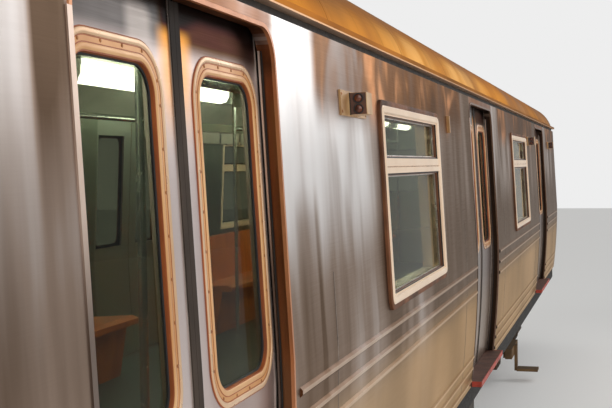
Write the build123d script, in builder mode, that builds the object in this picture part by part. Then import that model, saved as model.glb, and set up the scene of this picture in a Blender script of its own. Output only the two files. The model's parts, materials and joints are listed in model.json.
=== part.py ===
from build123d import *
from math import acos, atan2, cos, radians, sin, sqrt, tan
import os

# Metro car, full size, in millimetres.
# +X runs along the car to the plain end, the cab is at -X, +Y is the left side and +Z is up.
# The origin is under the middle of the car, at the lowest point of the wheel flanges.

# Overall sizes
LENGTH = 22770
ANTICLIMBER_REACH = 205
BELT_HALF_WIDTH = 1505
FLANGE_HEIGHT = 28
WHEEL_RADIUS = 432
FLOOR_Z = 1171
ROOF_Z = 3728

# Clearances: a seat between fixed pieces, and the room round a moving one
SEAT = 0.3
CLEAR = 6

# Side wall section: widest at the belt, leaning in above and curving in below
BELT_Z = FLOOR_Z + 850
SKIRT_Z = FLOOR_Z - 40
SKIRT_IN = 55
LEAN = radians(3)
WALL = 115
SKIN = 50
POCKET = 50
HEADER_Z = FLOOR_Z + 1805
HEADER_TOP_Z = FLOOR_Z + 1950

# Roof section: an upright foot set in from the wall, a tight cove and a shallow crown
ROOF_THICKNESS = 60
ROOF_STEP = 20.5
COVE_RADIUS = 430
COVE_IN = 415
COVE_Z = ROOF_Z - 665
RAIL_Z = HEADER_TOP_Z + 30
RAIL_OUT = 43
RAIL_HEIGHT = 25
RAIL_THICKNESS = 5

# Doorways and their sliding leaves, each with its pane held in a rebate on the inside
DOOR_COUNT = 4
DOOR_WIDTH = 1270
DOOR_TOP_Z = FLOOR_Z + 1905
DOOR_CORNER = 100
LEAF_THICKNESS = 38
LEAF_OVERLAP = 20
LEAF_GAP = 5
LEAF_TRAVEL = 610
LEAF_TOP_Z = DOOR_TOP_Z + 2
LEAF_LOW_Z = FLOOR_Z + CLEAR
POCKET_DEEP = LEAF_OVERLAP + LEAF_TRAVEL + 15
TONGUE_HEIGHT = 20
TONGUE_THICKNESS = 10
DOOR_GLASS_X = 350
DOOR_GLASS_WIDTH = 420
DOOR_GLASS_HEIGHT = 850
DOOR_GLASS_CORNER = 80
DOOR_GLASS_LAP = 12
DOOR_GLASS_DEPTH = 15

# Side windows: surround, wall cut, sash openings and the bar between them
WINDOW_WIDTH = 1505
WINDOW_HEIGHT = 905
WINDOW_Z = FLOOR_Z + 1318
WINDOW_CORNER = 55
WINDOW_LAP = 15
WINDOW_PROUD = 9
WINDOW_FRAME = 62
TRANSOM_Z = FLOOR_Z + 1488
TRANSOM_HEIGHT = 65
CAB_WINDOW_FROM_END = 670
CAB_WINDOW_WIDTH = 560
GLASS = 8
GLASS_DEPTH = 20

# Raised ribs on the side, by height above the floor
RIB_HEIGHTS = (790, 705, 620, 180, 100, 12)
RIB_BASE = 34
RIB_CREST = 12
RIB_PROUD = 9
RIB_END = 60

# Door sills: a threshold as long as the doorway with a longer lip that stands out from the side
SILL_EAR = 20
SILL_LIP = 35
SILL_OUT = 20
SILL_EAR_GAP = 2

# Guard lights: a base plate and a housing with a steep face towards each end of the car
GUARD_LIGHT_Z = FLOOR_Z + 1725
GUARD_BASE = (400, 95, 8)
GUARD_HOUSING_FOOT = 130
GUARD_HOUSING_TOP = 90
GUARD_HOUSING_HEIGHT = 84
GUARD_HOUSING_OUT = 62
GUARD_FROM_WINDOW = 447.5
GUARD_FROM_END = 1200
COVER_SIZE = (25, 100, 18)
COVER_FROM_WINDOW = 392.5

# End walls, with a door that slides into one side
END_WALL = 110
END_SKIN = 38
END_POCKET = 48
END_DOOR_WIDTH = 760
END_DOOR_TOP_Z = FLOOR_Z + 1890
END_DOOR_TRAVEL = 720
END_DOOR_OVERLAP = 16
END_DOOR_GLASS = (470, 820)
END_DOOR_GLASS_Z = FLOOR_Z + 1330
END_WINDOW = (520, 640)
END_WINDOW_Y = 820
END_WINDOW_Z = FLOOR_Z + 1400
END_GLASS_CORNER = 60

# End fittings
ANTICLIMBER_HALF_WIDTH = 780
ANTICLIMBER_RIBS = 3
ANTICLIMBER_RIB = 24
ANTICLIMBER_GAP = 32
LAMP_RADIUS = 75
LAMP_DEPTH = 24
MARKER_IN = 325

# Underframe
SIDE_SILL = (130, 150)
SIDE_SILL_IN = 20
CROSS_MEMBER = (90, 120)
CROSS_MEMBER_PITCH = 1490
CENTRE_SILL_HALF = 150
END_BEAM = 350
BOLSTER_LENGTH = 620
BOLSTER_Z = 960

# Equipment hung under the floor, from the undersides of the cross members
HANGER_Z = SKIRT_Z - CROSS_MEMBER[1]
EQUIPMENT_IN = 205
BOX_DOOR = 12
BOX_DOOR_WIDTH = 420
BOX_DOOR_GAP = 20
BOX_CHAMFER = 60
GRID_COUNT = 3
GRID_START_X = 3150
GRID_PITCH = 1100
GRID_SIZE = (960, 680, 400)
GRID_PLATE = 30
GRID_SLATS = 7
GRID_SLAT = 24
TANK_RADIUS = 165
TANK_Y = -215
TANK_DROP = 40
TANK_STRAP = (30, 60)
COMPRESSOR_X = 5200
COMPRESSOR_Y = -885
COMPRESSOR_MOUNT = (1000, 530, 60)
COMPRESSOR_BLOCK = (500, 470, 420)
COMPRESSOR_MOTOR = (190, 430)
COMPRESSOR_SADDLE = (220, 200)

# Trucks: wheels, frame, suspension and drive
TRUCK_FROM_END = 2950
WHEELBASE = 2082
BACK_TO_BACK = 1360
WHEEL_WIDTH = 136
FLANGE_WIDTH = 26
RIM_DEPTH = 62
WHEEL_DISH = 50
AXLE_RADIUS = 85
JOURNAL_RADIUS = 62
JOURNAL_END = 1068
SIDE_FRAME_Y = 985
SIDE_FRAME_WIDTH = 130
FRAME_TOP_Z = 610
FRAME_LOW = 40
FRAME_ARM = (90, 190, 250)
FRAME_END = 215
FRAME_WAIST = 75
FRAME_KNEE = 260
CROSS_BEAM_X = 330
CROSS_BEAM = (150, 150)
CROSS_BEAM_Z = 50
JOURNAL_BOX = (270, 170, 250)
SPRING_RADIUS = 235
SPRING_PISTON = (195, 90)
SPRING_SEAT = 20
TRUCK_BOLSTER = (440, 2460, 92)
BOLSTER_BELLY = 420
BOLSTER_TAPER = 90
BOLSTER_DROP = 60
CENTRE_PIN_RADIUS = 100
MOTOR_RADIUS = 225
MOTOR_LENGTH = 560
MOTOR_Y = 330
MOTOR_UP = 20
MOTOR_AXLE_GAP = 25
GEAR_CASE_RADIUS = 235
GEAR_CASE_WIDTH = 150
GEAR_CASE_SMALL = 130
MOTOR_LUG = (300, 100)
BRAKE_CYLINDER = (62, 20)
BRAKE_SHOE = (45, 96)
BRAKE_GAP = 12
BRAKE_WRAP = 20
BRAKE_SET_OUT = 32
SHOE_BEAM = (760, 80, 120)
SHOE_BEAM_DROP = 140
SHOE_BRACKET_X = 260
SHOE_BRACKET = (80, 30)
SHOE_POST = (120, 30)
SHOE = (210, 250, 28)
SHOE_Z = 128

# Couplers and the pocket that carries each drawbar
COUPLER_PIVOT_FROM_END = 880
COUPLER_FACE_OUT = 250
COUPLER_Z = 800
COUPLER_HEAD = (330, 300, 300)
COUPLER_CHAMFER = 50
COUPLER_PIN_RADIUS = 38
COUPLER_NOSE = (120, 180, 160)
DRAWBAR_RADIUS = 66
DRAWBAR_EYE = (95, 68)
PIVOT_PIN_RADIUS = 45
DRAFT_PLATE = (360, 300, 30)
DRAFT_PLATE_FRONT = 160
DRAFT_BACK = 90

# Saloon
CEILING_Z = 3290
CEILING_SIDE_Z = 3080
CEILING_SLOPE = 505
CEILING_THICKNESS = 20
LIGHT_Y = 560
LIGHT_SIZE = (160, 34)
SEAT_HEIGHT = 430
SEAT_DEPTH = 460
SEAT_BACK_TOP = 840
SEAT_SHELL = 45
SEAT_END = 330
BENCH_END_GAP = 60
POLE_RADIUS = 16
POLE_IN = 40
POLE_END = 30
GRAB_RAIL_Z = FLOOR_Z + 1830
CAB_LENGTH = 1460
CAB_WALL = 40
CAB_DOOR_WIDTH = 620
CAB_DOOR_TOP = 1900
CONSOLE = (430, 900, 900)
CONSOLE_IN = 1085
CONSOLE_TOP = 180
CONSOLE_SLOPE = 150
CONSOLE_FASCIA = 110
CONSOLE_KNEE = 120

# Worked out from the sizes above
AXLE_Z = FLANGE_HEIGHT + WHEEL_RADIUS
BODY_LENGTH = LENGTH - 2 * ANTICLIMBER_REACH
BODY_END = BODY_LENGTH / 2
BODY_INNER = BODY_END - END_WALL
DOOR_SPACING = BODY_LENGTH / DOOR_COUNT
DOOR_XS = [(n - (DOOR_COUNT - 1) / 2) * DOOR_SPACING for n in range(DOOR_COUNT)]
SKIRT_RADIUS = ((BELT_Z - SKIRT_Z) ** 2 + SKIRT_IN**2) / (2 * SKIRT_IN)
ROOF_FOOT_Y = BELT_HALF_WIDTH - (HEADER_TOP_Z - BELT_Z) * tan(LEAN) - ROOF_STEP
COVE_Y = ROOF_FOOT_Y - COVE_IN
CROWN_RISE = ROOF_Z - COVE_Z
CROWN_RADIUS = (COVE_Y**2 + CROWN_RISE**2 - COVE_RADIUS**2) / (2 * (CROWN_RISE - COVE_RADIUS))
COVE_TILT = atan2(COVE_Y, COVE_Z - (ROOF_Z - CROWN_RADIUS))
LEAF_WIDTH = DOOR_WIDTH / 2 + LEAF_OVERLAP - LEAF_GAP / 2
LEAF_DEPTH = SKIN + CLEAR
WINDOW_XS = [(a + b) / 2 for a, b in zip(DOOR_XS, DOOR_XS[1:])]
CAB_WINDOW_X = CAB_WINDOW_FROM_END - BODY_END
WINDOWS = [(x, WINDOW_WIDTH) for x in WINDOW_XS] + [(CAB_WINDOW_X, CAB_WINDOW_WIDTH)]
GUARD_XS = [
    GUARD_FROM_END - BODY_END,
    WINDOW_XS[0] - WINDOW_WIDTH / 2 - GUARD_FROM_WINDOW,
    WINDOW_XS[1] - WINDOW_WIDTH / 2 - GUARD_FROM_WINDOW,
    WINDOW_XS[-1] + WINDOW_WIDTH / 2 + GUARD_FROM_WINDOW,
    BODY_END - GUARD_FROM_END,
]
COVER_X = WINDOW_XS[1] + WINDOW_WIDTH / 2 + COVER_FROM_WINDOW
TRUCK_X = BODY_END - TRUCK_FROM_END
COUPLER_PIVOT_X = BODY_END - COUPLER_PIVOT_FROM_END
COUPLER_FACE_X = BODY_END + COUPLER_FACE_OUT
CEILING_FLAT = BELT_HALF_WIDTH - CEILING_SLOPE
CAB_WALL_X = CAB_LENGTH - BODY_END
ENDS = (("cab", -1), ("plain", 1))

os.makedirs("parts", exist_ok=True)


def save(piece, name):
    """Label a finished piece and write it as its own file."""
    piece.label = name
    export_step(piece, f"parts/{name}.step")


def skin_y(z, depth=0.0):
    """Distance of the side wall from the middle plane, at a height and a depth behind the skin."""
    if z >= BELT_Z:
        return BELT_HALF_WIDTH - depth - (z - BELT_Z) * tan(LEAN)
    return BELT_HALF_WIDTH - depth - SKIRT_RADIUS + sqrt(SKIRT_RADIUS**2 - (BELT_Z - z) ** 2)


def wall_curve(low, high, depth, side):
    """The wall's line between two heights: an arc below the belt and a straight lean above it."""
    if low < BELT_Z:
        top = min(high, BELT_Z)
        ThreePointArc(*[(side * skin_y(z, depth), z) for z in (low, (low + top) / 2, top)])
    if high > BELT_Z:
        start = max(low, BELT_Z)
        Line((side * skin_y(start, depth), start), (side * skin_y(high, depth), high))


def roof_curve(inset):
    """The roof's line from foot to foot, moved inwards by the inset."""
    cove = COVE_RADIUS - inset
    foot_y = ROOF_FOOT_Y - inset
    foot_angle = acos((foot_y - COVE_Y) / cove)
    middle = (foot_angle + radians(90) - COVE_TILT) / 2
    points = [
        (COVE_Y + cove * cos(angle), COVE_Z + cove * sin(angle))
        for angle in (foot_angle, middle, radians(90) - COVE_TILT)
    ]
    for side in (-1, 1):
        start, bend, join = [(side * y, z) for y, z in points]
        Line((side * foot_y, HEADER_TOP_Z), start)
        ThreePointArc(start, bend, join)
    join_y, join_z = points[2]
    ThreePointArc((-join_y, join_z), (0, ROOF_Z - inset), (join_y, join_z))


def side_panel(x, z, depth, mode=Mode.ADD):
    """A length of the right side wall, between two places along X, two heights and two depths."""
    with BuildSketch(Plane.YZ.offset(x[0])) as section:
        with BuildLine():
            for d in depth:
                wall_curve(z[0], z[1], d, -1)
            for height in z:
                Line((-skin_y(height, depth[0]), height), (-skin_y(height, depth[1]), height))
        make_face()
    extrude(section.sketch, amount=x[1] - x[0], mode=mode)


def block(x, y, z, mode=Mode.ADD):
    """A block between two limits on each axis."""
    with Locations(((x[0] + x[1]) / 2, (y[0] + y[1]) / 2, (z[0] + z[1]) / 2)):
        Box(x[1] - x[0], y[1] - y[0], z[1] - z[0], mode=mode)


def bar(start, end, radius, mode=Mode.ADD):
    """A round bar between two points."""
    run = Vector(*end) - Vector(*start)
    with BuildSketch(Plane(origin=start, z_dir=run)) as section:
        Circle(radius)
    extrude(section.sketch, amount=run.length, mode=mode)


def lean_plane(x, z, depth=0.0):
    """A plane on the right side wall above the belt, facing outwards, its second axis up the wall."""
    skin = Plane(origin=(x, -skin_y(z), z), x_dir=(1, 0, 0), z_dir=(0, -cos(LEAN), sin(LEAN)))
    return skin.offset(-depth * cos(LEAN))


def mirrored(piece):
    """The left-hand copy of a right-hand piece."""
    with BuildPart() as copy:
        mirror(piece, about=Plane.XZ)
    return copy.part


def both_sides(piece):
    """A right-hand piece together with its left-hand copy."""
    with BuildPart() as pair:
        add(piece)
        mirror(piece, about=Plane.XZ)
    return pair.part


# Side walls: five bays a side, parted by the doorways
def bay_limits():
    """Start and end of each bay, and whether each end of it has a door pocket."""
    edges = [-BODY_INNER]
    for door in DOOR_XS:
        edges += [door - DOOR_WIDTH / 2, door + DOOR_WIDTH / 2]
    edges.append(BODY_INNER)
    return [(edges[n], edges[n + 1], n > 0, n + 2 < len(edges)) for n in range(0, len(edges), 2)]


def bay_ribs(x0, x1):
    """Raised ribs along one bay."""
    for height in RIB_HEIGHTS:
        z = FLOOR_Z + height
        base, crest = RIB_BASE / 2, RIB_CREST / 2
        with BuildSketch(Plane.YZ.offset(x0 + RIB_END)) as section:
            with BuildLine():
                Polyline(
                    (-skin_y(z - base, 1), z - base),
                    (-skin_y(z - crest, -RIB_PROUD), z - crest),
                    (-skin_y(z + crest, -RIB_PROUD), z + crest),
                    (-skin_y(z + base, 1), z + base),
                    close=True,
                )
            make_face()
        extrude(section.sketch, amount=x1 - x0 - 2 * RIB_END)


def side_bays():
    """The five bays of the right side, with their pockets, ribs and window cuts."""
    with BuildPart() as bays:
        for x0, x1, pocket_before, pocket_after in bay_limits():
            side_panel((x0, x1), (SKIRT_Z, HEADER_Z), (0, WALL))
            bay_ribs(x0, x1)
            pocket = ((FLOOR_Z, HEADER_Z), (SKIN, SKIN + POCKET), Mode.SUBTRACT)
            if pocket_before:
                side_panel((x0, x0 + POCKET_DEEP), *pocket)
            if pocket_after:
                side_panel((x1 - POCKET_DEEP, x1), *pocket)
        for x, width in WINDOWS:
            with BuildSketch(lean_plane(x, WINDOW_Z)):
                Rectangle(width - 2 * WINDOW_LAP, WINDOW_HEIGHT - 2 * WINDOW_LAP)
            extrude(amount=WALL * 1.5, both=True, mode=Mode.SUBTRACT)
    return bays.part


def door_header():
    """The beam over the doorways of the right side, with the channel that the leaves hang in."""
    with BuildPart() as header:
        side_panel((-BODY_INNER, BODY_INNER), (HEADER_Z, HEADER_TOP_Z), (0, WALL))
        tongue = LEAF_DEPTH + (LEAF_THICKNESS - TONGUE_THICKNESS) / 2
        for x in DOOR_XS:
            with BuildSketch(Plane.XZ.offset(skin_y(HEADER_Z, SKIN + POCKET / 2))) as doorway:
                with Locations((x, HEADER_Z)):
                    Rectangle(DOOR_WIDTH, 2 * (DOOR_TOP_Z - HEADER_Z))
                fillet(doorway.vertices().group_by(Axis.Y)[-1], DOOR_CORNER - 1)
            extrude(amount=WALL, mode=Mode.SUBTRACT)
            inside = (HEADER_Z, DOOR_TOP_Z), (SKIN + POCKET / 2, WALL)
            side_panel((x - DOOR_WIDTH / 2, x + DOOR_WIDTH / 2), *inside, Mode.SUBTRACT)
            reach = DOOR_WIDTH / 2 + POCKET_DEEP
            side_panel(
                (x - reach, x + reach), (HEADER_Z, LEAF_TOP_Z + CLEAR), (SKIN, SKIN + POCKET), Mode.SUBTRACT
            )
            side_panel(
                (x - reach, x + reach),
                (HEADER_Z, LEAF_TOP_Z + TONGUE_HEIGHT + SEAT),
                (tongue - SEAT, tongue + TONGUE_THICKNESS + SEAT),
                Mode.SUBTRACT,
            )
    return header.part


right_bays = side_bays()
save(right_bays, "side_bays_right")
save(mirrored(right_bays), "side_bays_left")
save(both_sides(door_header()), "door_headers")

# Roof, with its drip rails
with BuildPart() as roof:
    with BuildSketch(Plane.YZ.offset(-BODY_INNER)):
        with BuildLine():
            roof_curve(0)
            roof_curve(ROOF_THICKNESS)
            for edge in (-1, 1):
                Line(
                    (edge * ROOF_FOOT_Y, HEADER_TOP_Z),
                    (edge * (ROOF_FOOT_Y - ROOF_THICKNESS), HEADER_TOP_Z),
                )
        make_face()
    extrude(amount=2 * BODY_INNER)
save(roof.part, "roof")

with BuildPart() as rail:
    with BuildSketch(Plane.YZ.offset(-BODY_END)):
        with BuildLine():
            Polyline(
                (-ROOF_FOOT_Y, RAIL_Z),
                (-ROOF_FOOT_Y - RAIL_OUT, RAIL_Z),
                (-ROOF_FOOT_Y - RAIL_OUT, RAIL_Z + RAIL_HEIGHT),
                (-ROOF_FOOT_Y - RAIL_OUT + RAIL_THICKNESS, RAIL_Z + RAIL_HEIGHT),
                (-ROOF_FOOT_Y - RAIL_OUT + RAIL_THICKNESS, RAIL_Z + RAIL_THICKNESS),
                (-ROOF_FOOT_Y, RAIL_Z + RAIL_THICKNESS),
                close=True,
            )
        make_face()
    extrude(amount=2 * BODY_END)
save(both_sides(rail.part), "drip_rails")


# End walls
def end_wall(side):
    """The wall across one end of the body, with the end doorway, its pocket and two windows."""
    outer, inner = side * BODY_END, side * BODY_INNER
    pocket = sorted((outer - side * END_SKIN, outer - side * (END_SKIN + END_POCKET)))
    with BuildPart() as wall:
        with BuildSketch(Plane.YZ.offset(min(outer, inner))):
            with BuildLine():
                roof_curve(0)
                for edge in (-1, 1):
                    wall_curve(SKIRT_Z, HEADER_TOP_Z, 0, edge)
                    Line((edge * skin_y(HEADER_TOP_Z), HEADER_TOP_Z), (edge * ROOF_FOOT_Y, HEADER_TOP_Z))
                Line((-skin_y(SKIRT_Z), SKIRT_Z), (skin_y(SKIRT_Z), SKIRT_Z))
            make_face()
        extrude(amount=END_WALL)
        with BuildSketch(Plane.YZ.offset(min(outer, inner))) as openings:
            with Locations((0, (FLOOR_Z + END_DOOR_TOP_Z) / 2)):
                Rectangle(END_DOOR_WIDTH, END_DOOR_TOP_Z - FLOOR_Z)
            with Locations((-END_WINDOW_Y, END_WINDOW_Z), (END_WINDOW_Y, END_WINDOW_Z)):
                RectangleRounded(*END_WINDOW, END_GLASS_CORNER)
        extrude(amount=END_WALL, mode=Mode.SUBTRACT)
        reach = END_DOOR_WIDTH / 2 + END_DOOR_OVERLAP
        block(
            pocket,
            (-reach - CLEAR, reach + END_DOOR_TRAVEL + CLEAR),
            (FLOOR_Z, END_DOOR_TOP_Z + 2 * CLEAR),
            Mode.SUBTRACT,
        )
        tongue = outer - side * (END_SKIN + END_POCKET / 2)
        block(
            (tongue - TONGUE_THICKNESS / 2 - SEAT, tongue + TONGUE_THICKNESS / 2 + SEAT),
            (-reach - CLEAR, reach + END_DOOR_TRAVEL + CLEAR),
            (END_DOOR_TOP_Z, END_DOOR_TOP_Z + CLEAR + TONGUE_HEIGHT + SEAT),
            Mode.SUBTRACT,
        )
    return wall.part


def end_door(side):
    """The sliding door in one end wall, hung from its top edge."""
    middle = side * (BODY_END - END_SKIN - END_POCKET / 2)
    half = END_POCKET / 2 - CLEAR
    reach = END_DOOR_WIDTH / 2 + END_DOOR_OVERLAP
    with BuildPart() as door:
        block((middle - half, middle + half), (-reach, reach), (FLOOR_Z + CLEAR, END_DOOR_TOP_Z + CLEAR))
        block(
            (middle - TONGUE_THICKNESS / 2, middle + TONGUE_THICKNESS / 2),
            (-reach, reach),
            (END_DOOR_TOP_Z + CLEAR, END_DOOR_TOP_Z + CLEAR + TONGUE_HEIGHT),
        )
        with BuildSketch(Plane.YZ.offset(middle)):
            with Locations((0, END_DOOR_GLASS_Z)):
                RectangleRounded(*END_DOOR_GLASS, END_GLASS_CORNER)
        extrude(amount=half, both=True, mode=Mode.SUBTRACT)
    return door.part


def flat_pane(x, y, z, size):
    """An upright pane across the car, fitted in an opening of the stated size."""
    with BuildSketch(Plane.YZ.offset(x - GLASS / 2)) as outline:
        with Locations((y, z)):
            RectangleRounded(size[0] - 2 * SEAT, size[1] - 2 * SEAT, END_GLASS_CORNER - SEAT)
    extrude(outline.sketch, amount=GLASS)


for end, side in ENDS:
    save(end_wall(side), f"end_wall_{end}")
    save(end_door(side), f"end_door_{end}")
    with BuildPart() as end_door_glass:
        flat_pane(side * (BODY_END - END_SKIN - END_POCKET / 2), 0, END_DOOR_GLASS_Z, END_DOOR_GLASS)
    save(end_door_glass.part, f"end_door_glass_{end}")

with BuildPart() as end_windows:
    for end, side in ENDS:
        for y in (-END_WINDOW_Y, END_WINDOW_Y):
            flat_pane(side * (BODY_END - END_SKIN / 2), y, END_WINDOW_Z, END_WINDOW)
save(end_windows.part, "end_windows")

# each lamp: end of the car, height above the floor, distance from the middle
MARKER_Y = BELT_HALF_WIDTH - MARKER_IN
END_LAMPS = ((-1, 520, 640), (-1, 520, 830), (-1, 300, MARKER_Y), (1, 300, MARKER_Y))
with BuildPart() as end_lamps:
    for side, height, y in END_LAMPS:
        for edge in (-1, 1):
            with BuildSketch(Plane.YZ.offset(side * BODY_END)):
                with Locations((edge * y, FLOOR_Z + height)):
                    Circle(LAMP_RADIUS)
            extrude(amount=side * LAMP_DEPTH)
save(end_lamps.part, "end_lamps")


# Windows
def window_frame(x, width):
    """One side window's frame: a flange on the skin, a lining in the wall cut and a bar across it."""
    with BuildSketch(lean_plane(x, WINDOW_Z)) as flange:
        RectangleRounded(width, WINDOW_HEIGHT, WINDOW_CORNER)
    extrude(flange.sketch, amount=WINDOW_PROUD)
    with BuildSketch(lean_plane(x, WINDOW_Z)) as lining:
        inset = 2 * (WINDOW_LAP + SEAT)
        Rectangle(width - inset, WINDOW_HEIGHT - inset)
    extrude(lining.sketch, amount=-WALL)
    for size, middle in sash_openings(width):
        with BuildSketch(lean_plane(x, WINDOW_Z)) as sash:
            with Locations((0, middle)):
                Rectangle(*size)
        extrude(sash.sketch, amount=WALL * 1.5, both=True, mode=Mode.SUBTRACT)


def sash_openings(width):
    """Size and middle of the upper and the lower opening of a window, up the wall from its middle."""
    clear_width = width - 2 * WINDOW_FRAME
    edge = WINDOW_HEIGHT / 2 - WINDOW_FRAME
    bar_middle = (TRANSOM_Z - WINDOW_Z) / cos(LEAN)
    upper = (bar_middle + TRANSOM_HEIGHT / 2, edge)
    lower = (-edge, bar_middle - TRANSOM_HEIGHT / 2)
    return [((clear_width, b - a), (a + b) / 2) for a, b in (upper, lower)]


with BuildPart() as right_frames:
    for x, width in WINDOWS:
        window_frame(x, width)
save(both_sides(right_frames.part), "window_frames")

with BuildPart() as right_panes:
    for x, width in WINDOWS:
        for size, middle in sash_openings(width):
            with BuildSketch(lean_plane(x, WINDOW_Z, GLASS_DEPTH)):
                with Locations((0, middle)):
                    Rectangle(size[0] - 2 * SEAT, size[1] - 2 * SEAT)
            extrude(amount=-GLASS)
save(both_sides(right_panes.part), "window_panes")


# Sliding doors: the leaves of one side that open the same way move together
def door_leaves(way):
    """The right-hand leaves that open towards +X (way 1) or -X (way -1), each with its window cut."""
    tongue = LEAF_DEPTH + (LEAF_THICKNESS - TONGUE_THICKNESS) / 2
    with BuildPart() as leaves:
        for door in DOOR_XS:
            x = sorted((door + way * LEAF_GAP / 2, door + way * (LEAF_GAP / 2 + LEAF_WIDTH)))
            side_panel(x, (LEAF_LOW_Z, LEAF_TOP_Z), (LEAF_DEPTH, LEAF_DEPTH + LEAF_THICKNESS))
            side_panel(x, (LEAF_TOP_Z, LEAF_TOP_Z + TONGUE_HEIGHT), (tongue, tongue + TONGUE_THICKNESS))
            with BuildSketch(lean_plane(door + way * DOOR_GLASS_X, WINDOW_Z, LEAF_DEPTH)):
                RectangleRounded(DOOR_GLASS_WIDTH, DOOR_GLASS_HEIGHT, DOOR_GLASS_CORNER)
            extrude(amount=WALL, both=True, mode=Mode.SUBTRACT)
            with BuildSketch(lean_plane(door + way * DOOR_GLASS_X, WINDOW_Z, LEAF_DEPTH + DOOR_GLASS_DEPTH)):
                Rectangle(*[size + 2 * DOOR_GLASS_LAP for size in (DOOR_GLASS_WIDTH, DOOR_GLASS_HEIGHT)])
            extrude(amount=-LEAF_THICKNESS, mode=Mode.SUBTRACT)
    return leaves.part


def door_glass(way):
    """The panes of those leaves, each in its rebate."""
    lap = DOOR_GLASS_LAP - SEAT
    with BuildPart() as panes:
        for door in DOOR_XS:
            depth = LEAF_DEPTH + DOOR_GLASS_DEPTH
            with BuildSketch(lean_plane(door + way * DOOR_GLASS_X, WINDOW_Z, depth).offset(-SEAT)):
                Rectangle(DOOR_GLASS_WIDTH + 2 * lap, DOOR_GLASS_HEIGHT + 2 * lap)
            extrude(amount=-GLASS)
    return panes.part


for direction, way in (("fore", 1), ("aft", -1)):
    leaves = door_leaves(way)
    panes = door_glass(way)
    save(leaves, f"door_leaves_right_{direction}")
    save(mirrored(leaves), f"door_leaves_left_{direction}")
    save(panes, f"door_glass_right_{direction}")
    save(mirrored(panes), f"door_glass_left_{direction}")

with BuildPart() as right_sills:
    for x in DOOR_XS:
        half = DOOR_WIDTH / 2
        lip = skin_y(FLOOR_Z) + SILL_EAR_GAP
        block((x - half, x + half), (-lip, -skin_y(SKIRT_Z, WALL)), (SKIRT_Z, FLOOR_Z))
        block(
            (x - half - SILL_EAR, x + half + SILL_EAR),
            (-BELT_HALF_WIDTH - SILL_OUT, -lip),
            (FLOOR_Z - SILL_LIP, FLOOR_Z),
        )
save(both_sides(right_sills.part), "door_sills")


# Guard lights, and the slim light cover of the middle bay
def guard_light(x):
    """One guard light on the right side: a plate on the skin and a tapered housing with flat ends."""
    with BuildSketch(lean_plane(x, GUARD_LIGHT_Z)) as base:
        Rectangle(GUARD_BASE[0], GUARD_BASE[1])
    extrude(base.sketch, amount=GUARD_BASE[2])
    wall = lean_plane(x, GUARD_LIGHT_Z)
    low = Plane(wall.origin - wall.y_dir * GUARD_HOUSING_HEIGHT / 2, x_dir=wall.x_dir, z_dir=wall.y_dir)
    foot, top, out = GUARD_HOUSING_FOOT / 2, GUARD_HOUSING_TOP / 2, GUARD_BASE[2] + GUARD_HOUSING_OUT
    with BuildSketch(low) as housing:
        with BuildLine():
            Polyline((-foot, -GUARD_BASE[2]), (-top, -out), (top, -out), (foot, -GUARD_BASE[2]), close=True)
        make_face()
    extrude(housing.sketch, amount=GUARD_HOUSING_HEIGHT)


with BuildPart() as right_lights:
    for x in GUARD_XS:
        guard_light(x)
    with BuildSketch(lean_plane(COVER_X, GUARD_LIGHT_Z)):
        Rectangle(COVER_SIZE[0], COVER_SIZE[1])
    extrude(amount=COVER_SIZE[2])
save(both_sides(right_lights.part), "guard_lights")

# Floor and underframe
floor_half = skin_y(SKIRT_Z, WALL)
with BuildPart() as floor:
    block((-BODY_INNER, BODY_INNER), (-floor_half, floor_half), (SKIRT_Z, FLOOR_Z))
save(floor.part, "floor")

with BuildPart() as underframe:
    sill_out = skin_y(SKIRT_Z) - SIDE_SILL_IN
    sill_in = sill_out - SIDE_SILL[0]
    sill_z = (SKIRT_Z - SIDE_SILL[1], SKIRT_Z)
    for edge in (-1, 1):
        block((-BODY_END, BODY_END), sorted((edge * sill_in, edge * sill_out)), sill_z)
    block((-BODY_END, BODY_END), (-CENTRE_SILL_HALF, CENTRE_SILL_HALF), sill_z)
    members = 2 * int((BODY_END - END_BEAM) / CROSS_MEMBER_PITCH)
    for n in range(members):
        x = (n - (members - 1) / 2) * CROSS_MEMBER_PITCH
        half = CROSS_MEMBER[0] / 2
        block((x - half, x + half), (-sill_in, sill_in), (SKIRT_Z - CROSS_MEMBER[1], SKIRT_Z))
    for edge in (-1, 1):
        x = edge * TRUCK_X
        half = BOLSTER_LENGTH / 2
        block((x - half, x + half), (-sill_in, sill_in), (BOLSTER_Z, SKIRT_Z))
        bar((x, 0, SKIRT_Z), (x, 0, BOLSTER_Z - TRUCK_BOLSTER[2]), CENTRE_PIN_RADIUS)
        end_beam = sorted((edge * BODY_END, edge * (BODY_END - END_BEAM)))
        block(end_beam, (-sill_in, sill_in), (SKIRT_Z - SIDE_SILL[1], SKIRT_Z))
        # the draft pocket: a plate above and below the drawbar's eye, a back, and the pivot pin
        length, width, thickness = DRAFT_PLATE
        front = COUPLER_PIVOT_X + DRAFT_PLATE_FRONT
        draft = sorted((edge * (front - length), edge * front))
        for plate in (-1, 1):
            near = COUPLER_Z + plate * (DRAWBAR_EYE[1] + CLEAR)
            block(draft, (-width / 2, width / 2), sorted((near, near + plate * thickness)))
        back = sorted((edge * (front - length), edge * (front - length + DRAFT_BACK)))
        block(back, (-width / 2, width / 2), (COUPLER_Z - DRAWBAR_EYE[1] - CLEAR, HANGER_Z))
        bar(
            (edge * COUPLER_PIVOT_X, 0, COUPLER_Z - DRAWBAR_EYE[1] - CLEAR - thickness),
            (edge * COUPLER_PIVOT_X, 0, HANGER_Z),
            PIVOT_PIN_RADIUS,
        )
save(underframe.part, "underframe")

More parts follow.
